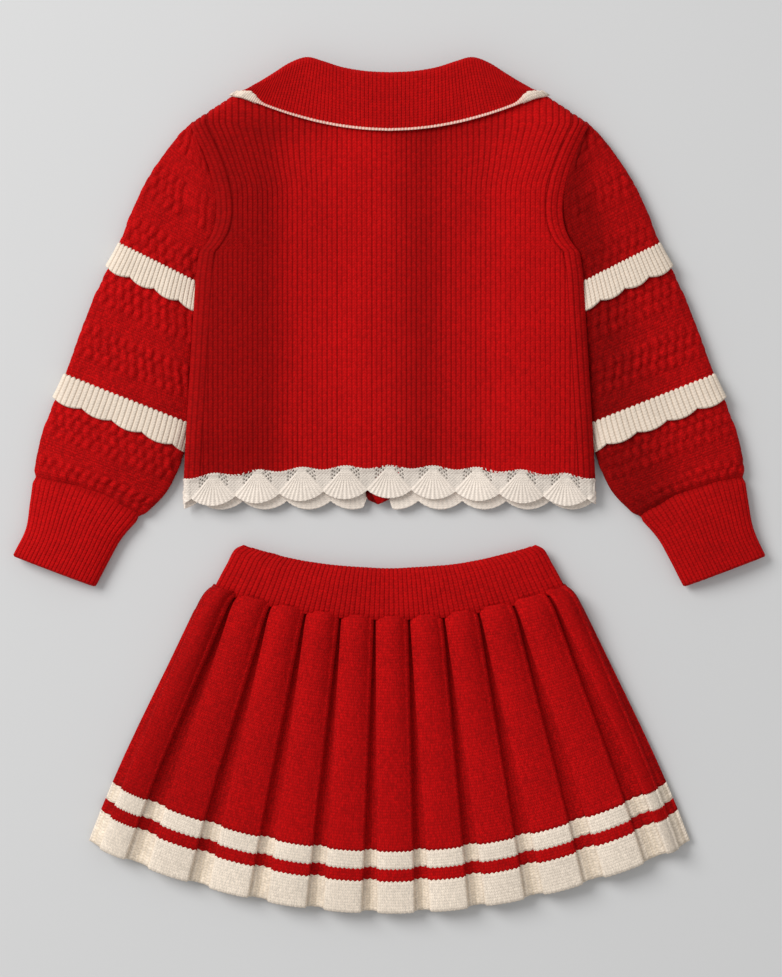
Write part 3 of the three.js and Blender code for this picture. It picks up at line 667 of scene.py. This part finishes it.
def inner_power(length):
    """Nearly square where the sleeve joins the armhole, rounded below the underarm."""
    return lerp(6.0, ROUND_POWER, smoothstep(arm.station(2.6), arm.station(3.6), length))


def since_band(length):
    """How far a place lies below the start of its run of puff bands, which begin under each frill."""
    below_upper, below_lower = UPPER_SEAM + FRILL_REACH, LOWER_SEAM + FRILL_REACH
    start = np.where(length < UPPER_SEAM, UPPER_SEAM - 0.6 * BLISTER_PERIOD,
                     np.where(length < LOWER_SEAM, below_upper, below_lower))
    return length - start + 2 * BLISTER_PERIOD


def blister_relief(length, across, seed):
    """Heights of the bands of staggered oval puffs, and of the fine ridges between them.

    length runs down the sleeve and across goes round it from the outer edge."""
    distance = since_band(length)
    band = np.floor(distance / BLISTER_PERIOD)
    phase = distance - band * BLISTER_PERIOD
    row_height = PUFF_BAND / PUFF_ROWS
    row = np.minimum(np.floor(phase / row_height), PUFF_ROWS)
    middle = length - phase + (row + 0.5) * row_height
    width = arm.width(np.clip(middle, 0, ARM_END))
    cell = across * width / PUFF_PITCH + 0.5 * np.mod(row, 2) + 0.27 * band
    which = np.floor(cell)
    stray = value_noise(which * 1.7 + 0.3, row + band * 3.3, seed)
    dx = cell - which - 0.5 + 0.08 * stray
    dy = phase / row_height - row - 0.5 + 0.1 * value_noise(which * 2.3, row * 1.9 + band, seed + 1)
    lean = dx + 0.16 * dy * np.where(np.mod(row, 2) > 0, -1, 1)
    oval = unit(1 - (lean / 0.46) ** 2 - (dy / 0.6) ** 2) ** 0.7
    in_puffs = smoothstep(0, 1.5, phase) * smoothstep(PUFF_BAND + 0.8, PUFF_BAND - 0.8, phase)
    ridge = wave((phase - PUFF_BAND) / 2.9)
    return oval * (1 + 0.25 * stray) * in_puffs, ridge * (1 - in_puffs)


def sleeve_shade(side, across, length):
    """Painted shade beside the body, over all of the right sleeve and in its hollow, and in the crease at the
    cuff.
    """
    crease = 0.25 * smoothstep(ARM_END - 8, ARM_END, length)
    if side < 0:
        return 0.22 * smoothstep(0.45, 0.92, across) + crease
    hollow = 0.3 * hump(across, 0.62, 0.2) * hump(length, 78, 34)
    return 0.12 + 0.75 * smoothstep(0.3, 0.9, across) + crease + hollow


def make_sleeve(side, name):
    columns = 168
    turn = even_turns(np.arange(columns) / columns)[:, None]
    length = down(260) * ARM_END + 0 * turn
    base, across = arm.points(turn, length, sleeve_thickness(length), inner_power(length))
    bow_back(base, across, smoothstep(ARM_END - 40, ARM_END, length))
    round_share = np.where(turn < 0.5, across, 2 - across)
    puff, ridge = blister_relief(length, round_share, 3 + side)
    at_seam = np.minimum(np.abs(length - UPPER_SEAM - 8), np.abs(length - LOWER_SEAM - 8))
    calm = (0.25 + 0.75 * smoothstep(8, 12, at_seam)) * smoothstep(ARM_END - 2, ARM_END - 12, length)
    fade = np.maximum(smoothstep(1.0, 0.93, across) * smoothstep(0.0, 0.05, across), 0.35)
    below_armhole = smoothstep(1.0, 0.72, across) + smoothstep(UPPER_SEAM - 30, UPPER_SEAM, length)
    at_cap = 0.6 if side > 0 else 0.85
    puff = puff * lerp(at_cap, 1.0, smoothstep(UPPER_SEAM - 20, UPPER_SEAM, length))
    puff = puff * np.clip(below_armhole, 0.1, 1)
    folds = value_noise(across * 2.4 + 5, length / 34, 11 + side) * 1.1
    folds += value_noise(across * 5 + length / 55, length / 60 - across * 2, 17 + side) * 0.6
    under = np.where(turn < 0.5, 1.0, 0.5)
    lumpy = 0.35 * value_noise(round_share * arm.width(length) / 2.6, length / 2.4, 29 + side)
    height = ((1.75 * puff + 0.5 * ridge + lumpy) * calm + folds) * fade * under
    pinch = 2.6 * smoothstep(ARM_END - 9, ARM_END, length)
    on_top = smoothstep(0, 0.12, turn) * smoothstep(0.56, 0.5, turn)
    base[..., 2] += 4.6 * smoothstep(0.25, 0.95, across) * (1 - smoothstep(30, 95, length)) * on_top
    base[..., 0] *= side
    # Painted light on the puffs and ridges, and painted shade from sleeve_shade.
    shade_and_pattern = unit(0.62 + 0.38 * puff + 0.25 * ridge - sleeve_shade(side, across, length))
    uv = knit(round_share * 34, length)
    obj = cloth(f"{name}_sleeve_knit", base, height - pinch, CLOTH * 0.9, uv, shade_and_pattern, 30, True, side)
    finish_piece(obj, red_blister, blend=SLEEVE_BEND[side],
                 replaces=[f"{name}_{part}" for part in ("sleeve_cap", "upper_sleeve", "middle_sleeve",
                                                         "lower_sleeve")])


def make_cuff(side, name):
    ribs = 46
    r = rib_columns(ribs)[:-1]
    turn = even_turns(r / ribs)
    long = wrist.length[-1]
    length = down(44) * long + 0 * turn
    thickness = 5.6 + 0.9 * np.sin(np.pi * length / long)
    base, across = wrist.points(turn, length, thickness, ROUND_POWER)
    bow_back(base, across, smoothstep(45, 0, length))
    base[..., 0] *= side
    height = rib_height(r)
    gentle = 0.5 * value_noise(across * 3, length / 22, 23 + side)
    tucked = 1 - smoothstep(0, 7, length)
    lift = height * 0.6 * (1 - 0.6 * tucked) + gentle - 2.0 * tucked
    # Painted shade in the rib valleys and the tucked crease, and over the whole right cuff.
    shade_and_pattern = (0.4 if side < 0 else 0.22) + 0.6 * height - 0.22 * tucked
    obj = cloth(f"{name}_cuff_knit", base, lift, CLOTH, knit(r, length), shade_and_pattern, 10, True, side)
    finish_piece(obj, red_rib, f"{name}_sleeve", replaces=[f"{name}_cuff"])


def make_frill(side, name, which, seam, scallops):
    """A ribbed frill round the sleeve, scalloped along its free edge."""
    ribs_each = 6
    ribs = ribs_each * scallops
    r = rib_columns(ribs)[:-1]
    turn = even_turns(r / ribs)
    v = down(22)
    swing = np.abs(np.sin(np.pi * r / ribs_each))
    jag = 1.6 * np.abs(np.sin(np.pi * r))
    length = lerp(seam - 0.6 - jag, seam + 19.0 + 3.4 * swing**0.8, v)
    base, across = arm.points(turn, length, sleeve_thickness(length) + 0.6, inner_power(length))
    base[..., 0] *= side
    height = rib_height(r)
    flare = 1.3 + 1.5 * v**1.4 + 0.8 * v * swing**2
    lift = height * 0.65 + flare * smoothstep(1.0, 0.9, across)
    # Painted shade in the rib valleys.
    shade_and_pattern = 0.25 + 0.75 * height
    obj = cloth(f"{name}_{which}_frill_knit", base, lift, 1.5, knit(r, length), shade_and_pattern, 6, True, side)
    finish_piece(obj, cream_rib, blend=SLEEVE_BEND[side], replaces=[f"{name}_{which}_frill"])


# ---- lace hems

def holed_sheet(name, base, lift, thickness, uv, shade_and_pattern, keep, outward=1):
    """A closed sheet like cloth(), with an opening through it wherever keep is False."""
    n = normals(base) * outward
    points = np.stack([base + n * lift[..., None], base - n * thickness]).reshape(-1, 3)
    columns, rows = base.shape[:2]
    index = np.arange(columns * rows).reshape(columns, rows)
    below = columns * rows
    corners = [index[:-1, :-1], index[1:, :-1], index[1:, 1:], index[:-1, 1:]]
    padded = np.pad(keep, 1)
    beyond = [padded[1:-1, :-2], padded[2:, 1:-1], padded[1:-1, 2:], padded[:-2, 1:-1]]
    top = np.stack([corner[keep] for corner in corners], -1)
    faces = [top, top[:, [0, 3, 2, 1]] + below]
    for side in range(4):
        wall = keep & ~beyond[side]
        e, f = corners[side][wall], corners[(side + 1) % 4][wall]
        faces.append(np.stack([f, e, e + below, f + below], -1))
    quads = np.concatenate(faces)
    used, quads = np.unique(quads, return_inverse=True)
    quads = quads.reshape(-1, 4)
    both_uv = np.concatenate([uv.reshape(-1, 2)] * 2)[used]
    both_shade_and_pattern = np.concatenate([shade_and_pattern.ravel()] * 2)[used]
    return add_mesh(name, points[used], quads, both_uv[quads], both_shade_and_pattern)


def lace_sheet(name, base, x, height, raised, thickness, opening, outward):
    """Lace with a given share of its height raised, and a hole at each opening."""
    # Painted shade in the lace's hollows; the dimples round the eyelets take a grey painted shade.
    shade_and_pattern = unit(0.5 + height * 0.7)
    uv = grid(x / LACE_STITCH, base[..., 1] / 2.0)
    return holed_sheet(name, base, height * raised, thickness, uv, shade_and_pattern, ~opening[:-1, :-1], outward)


FAN_ANGLE = math.radians(51)
FAN_RIBS = 11
LACE_STITCH = 2.5
# Holes beside each fan: how far each line of them lies from it, and how far down its holes are
HOLE_LINES = {1.5: (5.8, 8.4, 11.0, 13.6), 3.9: (7.0, 9.6, 12.2), 6.3: (8.4, 11.0)}


def from_fan(x):
    """How far a place is from the middle of the nearest fan, in scallops."""
    return x / SCALLOP - np.round(x / SCALLOP)


def lace_pattern(x, below):
    """Height in mm and openings of the fans and of the mesh between them."""
    across = np.abs(from_fan(x)) * SCALLOP
    angle = np.arctan2(across, np.maximum(below - 0.5, 0.01))
    radius = np.hypot(across, below - 0.5)
    beside = (angle - FAN_ANGLE) * radius
    ribs = wave(FAN_RIBS / 2 * angle / FAN_ANGLE)
    fan = smoothstep(0.6, -0.4, beside)
    knots = 0.5 + 0.5 * np.cos(2 * np.pi * below / 3.1) * np.cos(2 * np.pi * (x / 2.9))
    height = fan * (0.4 + 0.55 * ribs * smoothstep(2, 7, radius)) + (1 - fan) * 0.4 * knots
    nearest = np.full(x.shape, np.inf)
    for line, middles in HOLE_LINES.items():
        for middle in middles:
            nearest = np.minimum(nearest, ((radius - middle) / 1.2) ** 2 + (beside - line) ** 2)
    dimple = unit(1.2 - nearest)
    return height * (1 - dimple) - 0.45 * dimple, nearest < 0.22


def lace_low_edge(x, cusp):
    """The lower edge of the scallops: cusp is the height at which two of them meet."""
    picot = 0.35 * np.abs(np.sin(np.pi * x / LACE_STITCH))
    return cusp - 7.6 * np.abs(np.cos(np.pi * from_fan(x))) ** 0.75 - picot


def make_back_lace():
    x = np.linspace(-HEM_HALF, HEM_HALF, 700)[:, None]
    v = down(46)
    hang_line = hem_y(x) + fan_bulge(x) + 0.5
    picot = 0.9 * np.abs(np.sin(np.pi * x / LACE_STITCH))
    cusp = lerp(-3.4, -11.0, np.minimum(1, np.abs(x) / 168.0) ** 1.4)
    y = lerp(hang_line + picot, lace_low_edge(x, cusp), v)
    below = hang_line - y
    x = x + 0 * y
    z = BACK_TOP_Z - hem_sag(-below) + 0.85 * smoothstep(4, 0, below) + body_wave(x, y) * (1 - 0.6 * v)
    z = z - v + 0.9 * v * np.cos(np.pi * from_fan(x)) + 0.5 * value_noise(x / 30, y / 12, 31)
    z = z - 4.5 * unit(1 - (HEM_HALF - np.abs(x)) / 5.5) ** 2
    height, opening = lace_pattern(x, below)
    obj = lace_sheet("back_lace_hem", grid(x, y, z), x, height, 1.0, 0.8, opening, -1)
    finish_piece(obj, cream_lace, "cardigan", replaces=["back_lace"])


def make_front_lace(side, name):
    first = 19.0 if side < 0 else -0.5
    x = np.linspace(first, HEM_HALF - 0.5, 330)[:, None]
    v = down(34)
    shifted = x - 6.0 * side
    rounded_end = 7 * (1 - smoothstep(first, first + 5, x)) ** 2
    top = hem_y(x) + 0.3
    y = lerp(top, lace_low_edge(shifted, -13.0) + rounded_end, v)
    below = top - y
    x = x + 0 * y
    height, opening = lace_pattern(shifted + 0 * y, below * 0.85)
    z = 5.4 + 2.6 * smoothstep(14, 26, x) * smoothstep(1.0, 0.4, v)
    z = z + 0.5 * value_noise(x / 24, y / 12, 37 + side) + 3.0 * unit(1 - (HEM_HALF - x) / 6) ** 2
    obj = lace_sheet(f"{name}_front_lace_hem", grid(x * side, y, z), x, height, 0.5, 1.3, opening, side)
    finish_piece(obj, cream_lace, blend=FRONT_BEND[side],
                 replaces=[f"{name}_side_lace", f"{name}_front_lace"])


def make_placket(side, name):
    """The buttoned band down one front; the two bands lie one over the other."""
    ribs = 6
    low, high = box_mm(f"{name}_placket")
    r = rib_columns(ribs)
    y = lerp(low[1], high[1], down(90))
    half = (high[0] - low[0]) / 2 * np.sqrt(1 - np.clip(1 - (y - low[1]) / 11, 0, 0.995) ** 2)
    swing = smoothstep(26, low[1], y)
    y = y + swing
    x = (2 * r / ribs - 1) * half + side * 9.6 * swing
    z = (low[2] + high[2]) / 2 + 0.2 * value_noise(x / 9, y / 24, 41 + side)
    height = rib_height(r)
    lift = height * 0.55 + 0.5
    # Painted shade in the rib valleys.
    obj = cloth(f"{name}_button_band", grid(x, y, z), lift, 1.1, knit(r, y), height, 20, outward=-1)
    finish_piece(obj, red_rib, f"{name}_front", replaces=[f"{name}_placket"])


# The button's outline, out and up, from its middle over the rim and back underneath
BUTTON_PROFILE = np.array([(0.2, 0.35), (0.45, 0.35), (0.62, 0.5), (0.74, 0.9), (0.86, 1.0), (0.96, 0.75),
                           (1.0, 0.2), (0.98, -0.35), (0.85, -0.8), (0.6, -1.0), (0.3, -1.0), (0.2, -0.95)])


def make_button(index):
    low, high = box_mm(f"button_{index}")
    middle, half = (low + high) / 2, (high - low) / 2
    angle = np.linspace(0, 2 * np.pi, 48, endpoint=False)[:, None]
    out, rise = BUTTON_PROFILE[:, 0] * half[0], BUTTON_PROFILE[:, 1] * half[2]
    rings = grid(middle[0] + np.cos(angle) * out, middle[1] + np.sin(angle) * out, middle[2] - rise)
    obj = loft(f"button_{index}_disc", rings, 0 * rings[..., :2], np.ones(rings.shape[:2]), wrap=True)
    finish_piece(obj, button_shell, "left_front", replaces=[f"button_{index}"])


# ---- collar

FALL_TOP = [(0, 350), (20, 351), (40, 354.3), (56, 359.3), (70, 362.8), (84, 358.3), (98, 349.5),
            (111, 341.5), (124, 334.5)]
FALL_EDGE = [(0, 300), (20, 300.9), (40, 303.2), (60, 307), (79, 312), (95, 317), (109, 322),
             (122, 327), (135.5, 330.6)]


def collar_line(points, share):
    """A point of a symmetric line through points, at a share from -1 at the left to 1 at the right."""
    found = along(curve(points), np.abs(share))
    return found * np.stack([np.where(share < 0, -1.0, 1.0), np.ones_like(share)], -1)


def fall_surface(share, v):
    """The collar from inside the neck (v -0.35 to 0, over the roll) down to its outer edge at v 1."""
    fold, edge = collar_line(FALL_TOP, share), collar_line(FALL_EDGE, share)
    drop = 4.2 * smoothstep(0.90, 1.0, np.abs(share))
    roll_y = 5.0 - 4.5 * smoothstep(0.75, 1.0, np.abs(share))
    angle = np.clip(v, -0.35, 0) / 0.35 * math.radians(150) + math.radians(90)
    across = unit(v)
    x = lerp(fold[..., 0], edge[..., 0], across)
    y = lerp(fold[..., 1] - roll_y, edge[..., 1], across) + (v < 0) * roll_y * np.cos(angle)
    z = 16.2 + 5.2 * np.where(v < 0, np.sin(angle), 1.0) - drop
    lie = smoothstep(0, 1, across) * 0.35 + across * 0.65
    belly = 1.3 * np.sin(np.pi * across) * (1 - 0.4 * np.abs(share))
    return grid(x, y, z - lie * 2.6 + belly + side_rise(x) * smoothstep(0, 0.4, across))


def make_collar_stand():
    """The band from the neckline up to the collar's fold, hidden while the collar lies down."""
    ribs = 84
    r = rib_columns(ribs)
    v = down(14)
    fold = collar_line(FALL_TOP, 2 * r / ribs - 1)
    seam_x = fold[..., 0] * 0.94
    seam_y = shoulder_y(seam_x) - 5 * smoothstep(75, 55, np.abs(seam_x))
    seam_z = BACK_TOP_Z - 0.5 + body_wave(seam_x, seam_y)
    x = lerp(seam_x, fold[..., 0], v)
    y = lerp(seam_y, fold[..., 1] - 3, v)
    z = lerp(seam_z - 4.0 * smoothstep(52, 92, np.abs(x)), 17.4 - 3.0 * smoothstep(85, 124, np.abs(x)), v)
    height = rib_height(r)
    # Painted shade in the rib valleys.
    obj = cloth("collar_stand_knit", grid(x, y, z), height * 0.5, 2.0, knit(r, v * 30), height, 8)
    finish_piece(obj, red_rib, "cardigan", replaces=["collar_stand"])


def fall_band(share):
    """Share of the way from fold to edge where the cream edge begins."""
    reach = fall_surface(share, 0 * share) - fall_surface(share, 0 * share + 1)
    depth = np.linalg.norm(reach[..., :2], axis=-1)
    jag = 0.9 * np.mod(np.floor(np.abs(share) * 52) * 0.61803, 1.0) - 0.4
    band = 1.7 + (5.6 + jag) * smoothstep(0.71, 0.90, np.abs(share))
    return 1 - np.minimum(band / depth, 0.8)


def make_collar_fall():
    ribs = 92
    r = rib_columns(ribs)
    share = 2 * r / ribs - 1
    v = np.concatenate([down(12, -0.35, -0.03), down(40)], 1)
    v = np.where(v > 0, v * (fall_band(share) + 0.02), v)
    base = fall_surface(share, v)
    base[..., 2] += 0.5 * value_noise(share * 5, v * 2.5, 51)
    height = rib_height(r)
    lift = height * lerp(0.5, 0.25, smoothstep(0.02, -0.12, v))
    # Painted shade in the rib valleys and a little over the whole collar.
    obj = cloth("collar_fall_knit", base, lift, 2.2, knit(r, v * 50), 0.3 + 0.6 * height, 24, outward=-1)
    finish_piece(obj, red_rib, blend=COLLAR_BEND, replaces=["collar_fall"])
    trim = make_fall_trim()


def make_fall_trim():
    """The collar's cream edge: a chain of stitches that broadens into a band at each tip."""
    share = np.linspace(-1, 1, 640)[:, None]
    v = down(10)
    base = fall_surface(share, lerp(fall_band(share), 1.02, v))
    base[..., 2] += 0.4
    wales = share * 145 / 2.5
    chain = wave(wales)
    wide = smoothstep(0.73, 0.86, np.abs(share))
    height = 0.45 + 0.75 * np.sin(np.pi * v) ** 0.6 + 0.3 * chain + 0.25 * wide * wave(v * 3)
    shade_and_pattern = lerp(0.2 + 0.6 * chain, 0.8 + 0.2 * chain, wide)
    uv = grid(wales, v * lerp(1.0, 3.0, wide))
    obj = cloth("collar_fall_edge", base, height, 2.2, uv, shade_and_pattern, 4, outward=-1)
    finish_piece(obj, cream_edge, blend=COLLAR_BEND, replaces=["collar_fall_trim"])
    return obj


LEAF_NECK = [(72, 353), (61, 335), (45, 312), (28, 293), (13, 281)]
LEAF_OUTER = [(131, 331), (110, 302), (75, 262), (48, 247), (24, 236.5)]


def make_leaf(side, name):
    """The part of the collar that lies under the front, with its edge."""
    ribs = 34
    neck, outer = curve(LEAF_NECK), curve(LEAF_OUTER)

    def surface(share, v):
        xy = lerp(along(neck, share), along(outer, share), v[..., None])
        return grid(xy[..., 0] * side, xy[..., 1], 6.5 - 5.5 * smoothstep(0.0, 0.12, share))

    r = rib_columns(ribs)
    v = down(26, 0, 0.9)
    height = rib_height(r)
    base, uv = surface(r / ribs, v), knit(r, v * 50)
    # Painted shade in the rib valleys.
    obj = cloth(f"{name}_collar_front", base, height * 0.6, 1.5, uv, height, 12, outward=-side)
    finish_piece(obj, red_rib, blend=FRONT_BEND[side],
                 replaces=[f"{name}_collar_leaf", f"{name}_collar_wrap"])

    share = np.linspace(0, 1, 240)[:, None]
    v = down(8)
    chain = wave(share * 60)
    height = 0.5 * np.sin(np.pi * v) ** 0.6 + 0.2 * chain
    # Painted shade between the chain's loops.
    base, uv, shade_and_pattern = surface(share, 0.9 + 0.1 * v), grid(share * 60, v * 2), 0.6 + 0.4 * chain
    trim = cloth(f"{name}_collar_front_edge", base, height, 1.5, uv, shade_and_pattern, 4, outward=-side)
    finish_piece(trim, cream_plain, blend=FRONT_BEND[side],
                 replaces=[f"{name}_leaf_trim", f"{name}_wrap_trim"])


# ---- skirt

PLEATS = 11
WALES = 24
SKIRT_LENGTH = 252.0
SKIRT_TOP_EDGE = -111.0
WAIST_HALF = 150
WAIST_X_OFFSET, HEM_X_OFFSET = 2.0, 5.5
STRIPE_RISES = (0.0, 25.5, 36.0, 51.0)
SKIRT_ROWS = (64, 8, 7, 11)
# Width, length and area in metres of each knitted strip of the skirt, laid flat
SKIRT_SHEETS = {
    "pleats": (0.60, 0.20, 0.10),
    "upper_stripe": (0.66, 0.015, 0.0099),
    "middle_stripe": (0.66, 0.0105, 0.0069),
    "hem_stripe": (0.70, 0.0255, 0.0178),
}


def pleat_edges():
    """Where the folds between the pleats meet the waist and the hem, from side to side."""
    steps = np.arange(1, PLEATS) - PLEATS / 2
    waist = steps * 28.7 + WAIST_X_OFFSET
    hem = steps * 44.3 + 1.0 * steps * np.abs(steps) + HEM_X_OFFSET
    hem_half = SKIRT_HALF + 0.2
    return np.array([-149.5, *waist, 149.5]), np.array([-hem_half, *hem, hem_half])


PLEAT_WAIST, PLEAT_HEM = pleat_edges()


def pleat_profile(q):
    """For a place q across a pleat: 0 to 1 across its raised face, and how far down the fold it is."""
    face = unit((q - 0.2) / 0.6)
    into = unit((0.2 - q) / 0.2) + unit((q - 0.8) / 0.2)
    return face, into


def skirt_surface(q, t, depth, top_z, sign):
    """Points on the pleated cloth; q counts pleats from the left and t runs from waist to hem."""
    k = np.clip(np.floor(q).astype(int), 0, PLEATS - 1)
    left = lerp(PLEAT_WAIST[k], PLEAT_HEM[k], t)
    right = lerp(PLEAT_WAIST[k + 1], PLEAT_HEM[k + 1], t)
    wide, middle = right - left, (left + right) / 2
    face, into = pleat_profile(q - k)
    open_fold = 1.2 + t * (10.6 + 8.0 * np.abs(q - PLEATS / 2) / PLEATS * 2)
    half_face = (wide - open_fold) / 2
    roll = np.minimum(2.6 + 1.6 * (1 - t), half_face * 0.4)
    at_side = np.where(face < 0.5, -1.0, 1.0)
    angle = unit(into / 0.6) * math.radians(125)
    floor_share = unit((into - 0.6) / 0.4)
    rolled_x = at_side * (half_face - roll + roll * np.sin(angle))
    x = np.where(into <= 0, (2 * face - 1) * (half_face - roll), rolled_x)
    x = lerp(x, at_side * wide / 2, floor_share**0.7)
    crown = (1.1 + 3.4 * unit(1 - t) ** 1.6) * (1 - np.abs(2 * face - 1) ** 2.2)
    z = lerp(crown - roll * (1 - np.cos(angle)), -depth, smoothstep(0, 1, floor_share))
    x = middle + x
    flare = SKIRT_HALF / WAIST_HALF
    waist_y = SKIRT_TOP_EDGE + 26 * (x / lerp(1.0, flare, t) / WAIST_HALF) ** 2
    convex = 0.2 * np.abs(2 * face - 1) ** 6 + 1.2 * smoothstep(0.1, 0.8, into)
    hem_arc = SKIRT_HEM_Y + 59.0 * (x * lerp(flare, 1.0, t) / SKIRT_HALF) ** 2 + convex * t
    y = lerp(waist_y, hem_arc, t)
    bowed = 3.0 * np.sin(np.pi * t) * (x / SKIRT_HALF) * np.abs(x / SKIRT_HALF)
    shoulder = 7.0 * (1 - np.exp(-unit(t) / 0.02)) * np.exp(-unit(t) / 0.3)
    x = x + bowed + shoulder * (x / WAIST_HALF) * np.abs(x / WAIST_HALF)
    edge_roll = unit(1 - np.minimum(q, PLEATS - q) / 0.14) ** 2
    return grid(x, y, top_z + sign * (z - edge_roll * depth * 0.9))


def make_skirt_layer(layer):
    """The back or the front of the skirt: one piece for the pleats and one for each stripe."""
    back = layer == "back"
    q = np.arange(PLEATS * WALES * 2 + 1)[:, None] / (WALES * 2)
    wale = q * WALES
    relief_wale = np.abs(np.sin(np.pi * wale)) ** 0.7
    jag = 0.0050 * np.abs(2 * (wale / 2 - np.floor(wale / 2)) - 1)
    _, into = pleat_profile(q - np.floor(np.minimum(q, PLEATS - 1e-6)))
    bounds = [0.0] + [1 - rise / SKIRT_LENGTH for rise in STRIPE_RISES[:0:-1]] + [1.0]
    for index, (part, (wide, long, area)) in enumerate(SKIRT_SHEETS.items()):
        first, last = index == 0, part == "hem_stripe"
        red = part in ("pleats", "middle_stripe")
        rows = SKIRT_ROWS[index] if back else max(5, SKIRT_ROWS[index] // 2)
        start = bounds[index] - (0 if first else jag)
        end = bounds[index + 1] - (-0.3 * jag if last else jag)
        t = lerp(start, end, down(rows))
        if back:
            top_z = 14.6 + 2.4 * hump(t, 0.06, 0.09) - 3.0 * np.exp(-t / 0.018)
            top_z = top_z + 0.6 * value_noise(q * 0.9, t * 3, 61)
            base = skirt_surface(q, t, 5.6 + 0.6 * t, top_z, 1)
        else:
            base = skirt_surface(q, t, 1.6, 2.6 + 0.1 * value_noise(q * 0.9, t * 3, 62), -0.5)
        # Painted shade in the wale valleys and the folds between pleats, and over the leftmost red pleats.
        left_pleat_shade = 0.25 * smoothstep(-90, -180, base[..., 0]) if red else 0.0
        shade_and_pattern = unit(0.75 + 0.25 * relief_wale - 0.45 * into - left_pleat_shade)
        obj = cloth(f"skirt_{layer}_{part}", base, 0.22 * relief_wale, 2.2 if back else 1.4,
                    knit(wale, t * SKIRT_LENGTH), shade_and_pattern, 8 if first else 4, outward=-1 if back else 1,
                    rims=(0.45 * first, 0.45 * last))
        seams = ["left_skirt_seam", "right_skirt_seam"] if first and back else []
        finish_piece(obj, red_plain if red else cream_plain, "skirt", replaces=[f"{layer}_{part}", *seams])


WAIST_EDGE = curve([(124, -51.5), (131.5, -55.5), (137.5, -66), (143.5, -77), (150, -89)])


def waist_points(turn, v, half_thickness):
    """A flattened ring whose upper edge dips and whose lower edge hangs in an arc."""
    across, height = squircle(turn, WAIST_POWER)
    edge = along(WAIST_EDGE, v)
    middle_y = lerp(-71.0, -114.5, v)
    y = middle_y + (edge[..., 1] - middle_y) * np.abs(across) ** 2.1
    return grid(across * edge[..., 0], y, 7.8 + height * half_thickness)


def make_waistband():
    ribs = 140
    r = rib_columns(ribs)[:-1]
    turn = even_turns(r / ribs, 137, 7.5, WAIST_POWER)
    v = down(34)
    swell = 7.2 + 2.4 * np.sin(np.pi * v) ** 0.6
    lip = 2.6 * (1 - smoothstep(0, 0.1, v))
    base = waist_points(turn, v, swell - lip - 1.4 * smoothstep(0.88, 1, v))
    height = rib_height(r)
    lift = height * 0.6 + 0.5 * value_noise(turn * 60, v * 3, 71)
    # Painted shade in the rib valleys and a little over the whole band.
    obj = cloth("skirt_waistband", base, lift, 2.4, knit(r, v * 44), 0.28 + 0.6 * height, 12, True)
    finish_piece(obj, red_rib, "skirt", replaces=["waistband"])

    turn = np.arange(240)[:, None] / 240
    v = down(22, 0.12, 0.88)
    base = waist_points(turn, v, 4.2)
    base[..., 0] *= 0.955
    cord = wave(v * 9)
    # Painted shade between the cords.
    band = cloth("waist_elastic_band", base, 0.35 * cord, 1.0, grid(turn * 150, v * 18), cord, 4, True)
    finish_piece(band, elastic_weave, "skirt", replaces=["waist_elastic"])


# ---- stage, light and camera

def make_stage():
    mesh = bpy.data.meshes.new("floor")
    size = 20.0
    corners = [(-size, -size, 0), (size, -size, 0), (size, size, 0), (-size, size, 0)]
    mesh.from_pydata(corners, [], [(0, 1, 2, 3)])
    g = Nodes("studio_floor")
    g.shader.inputs["Base Color"].default_value = (0.62, 0.62, 0.62, 1)
    g.shader.inputs["Roughness"].default_value = 0.9
    g.shader.inputs["Specular IOR Level"].default_value = 0.1
    mesh.materials.append(g.material)
    put("floor", mesh, (0, 0, -0.0005))
    world = bpy.data.worlds.new("studio")
    world.use_nodes = True
    background = world.node_tree.nodes["Background"]
    background.inputs["Color"].default_value = (1, 1, 1, 1)
    background.inputs["Strength"].default_value = 0.55
    bpy.context.scene.world = world


def make_light():
    """One big soft lamp above the upper left corner."""
    lamp = bpy.data.lights.new("key", "AREA")
    lamp.shape = "DISK"
    lamp.size = 2.8
    lamp.energy = 185
    obj = put("key", lamp, (-3.0, 2.1, 2.9))
    obj.rotation_euler = (-obj.location).to_track_quat("-Z", "Y").to_euler()


def make_camera():
    camera = bpy.data.cameras.new("overhead")
    middle = (cad_low + cad_high) / 2
    height = 1.9
    field = 0.8305
    camera.sensor_width = 36
    camera.lens = camera.sensor_width * (height - 0.012) / field
    place = (middle.x + 0.0013, middle.y - 0.003, height)
    bpy.context.scene.camera = put("overhead", camera, place)


make_stage()
make_light()
make_camera()
bpy.context.scene.view_settings.view_transform = "Standard"

make_back()
make_back_lace()
make_collar_stand()
make_collar_fall()
make_waistband()
for layer in ("back", "front"):
    make_skirt_layer(layer)
for index in range(1, 6):
    make_button(index)
for side, name in SIDES.items():
    make_front(side, name)
    make_front_lace(side, name)
    make_placket(side, name)
    make_leaf(side, name)
    make_sleeve(side, name)
    make_cuff(side, name)
    make_frill(side, name, "upper", UPPER_SEAM, 8)
    make_frill(side, name, "lower", LOWER_SEAM, 9)
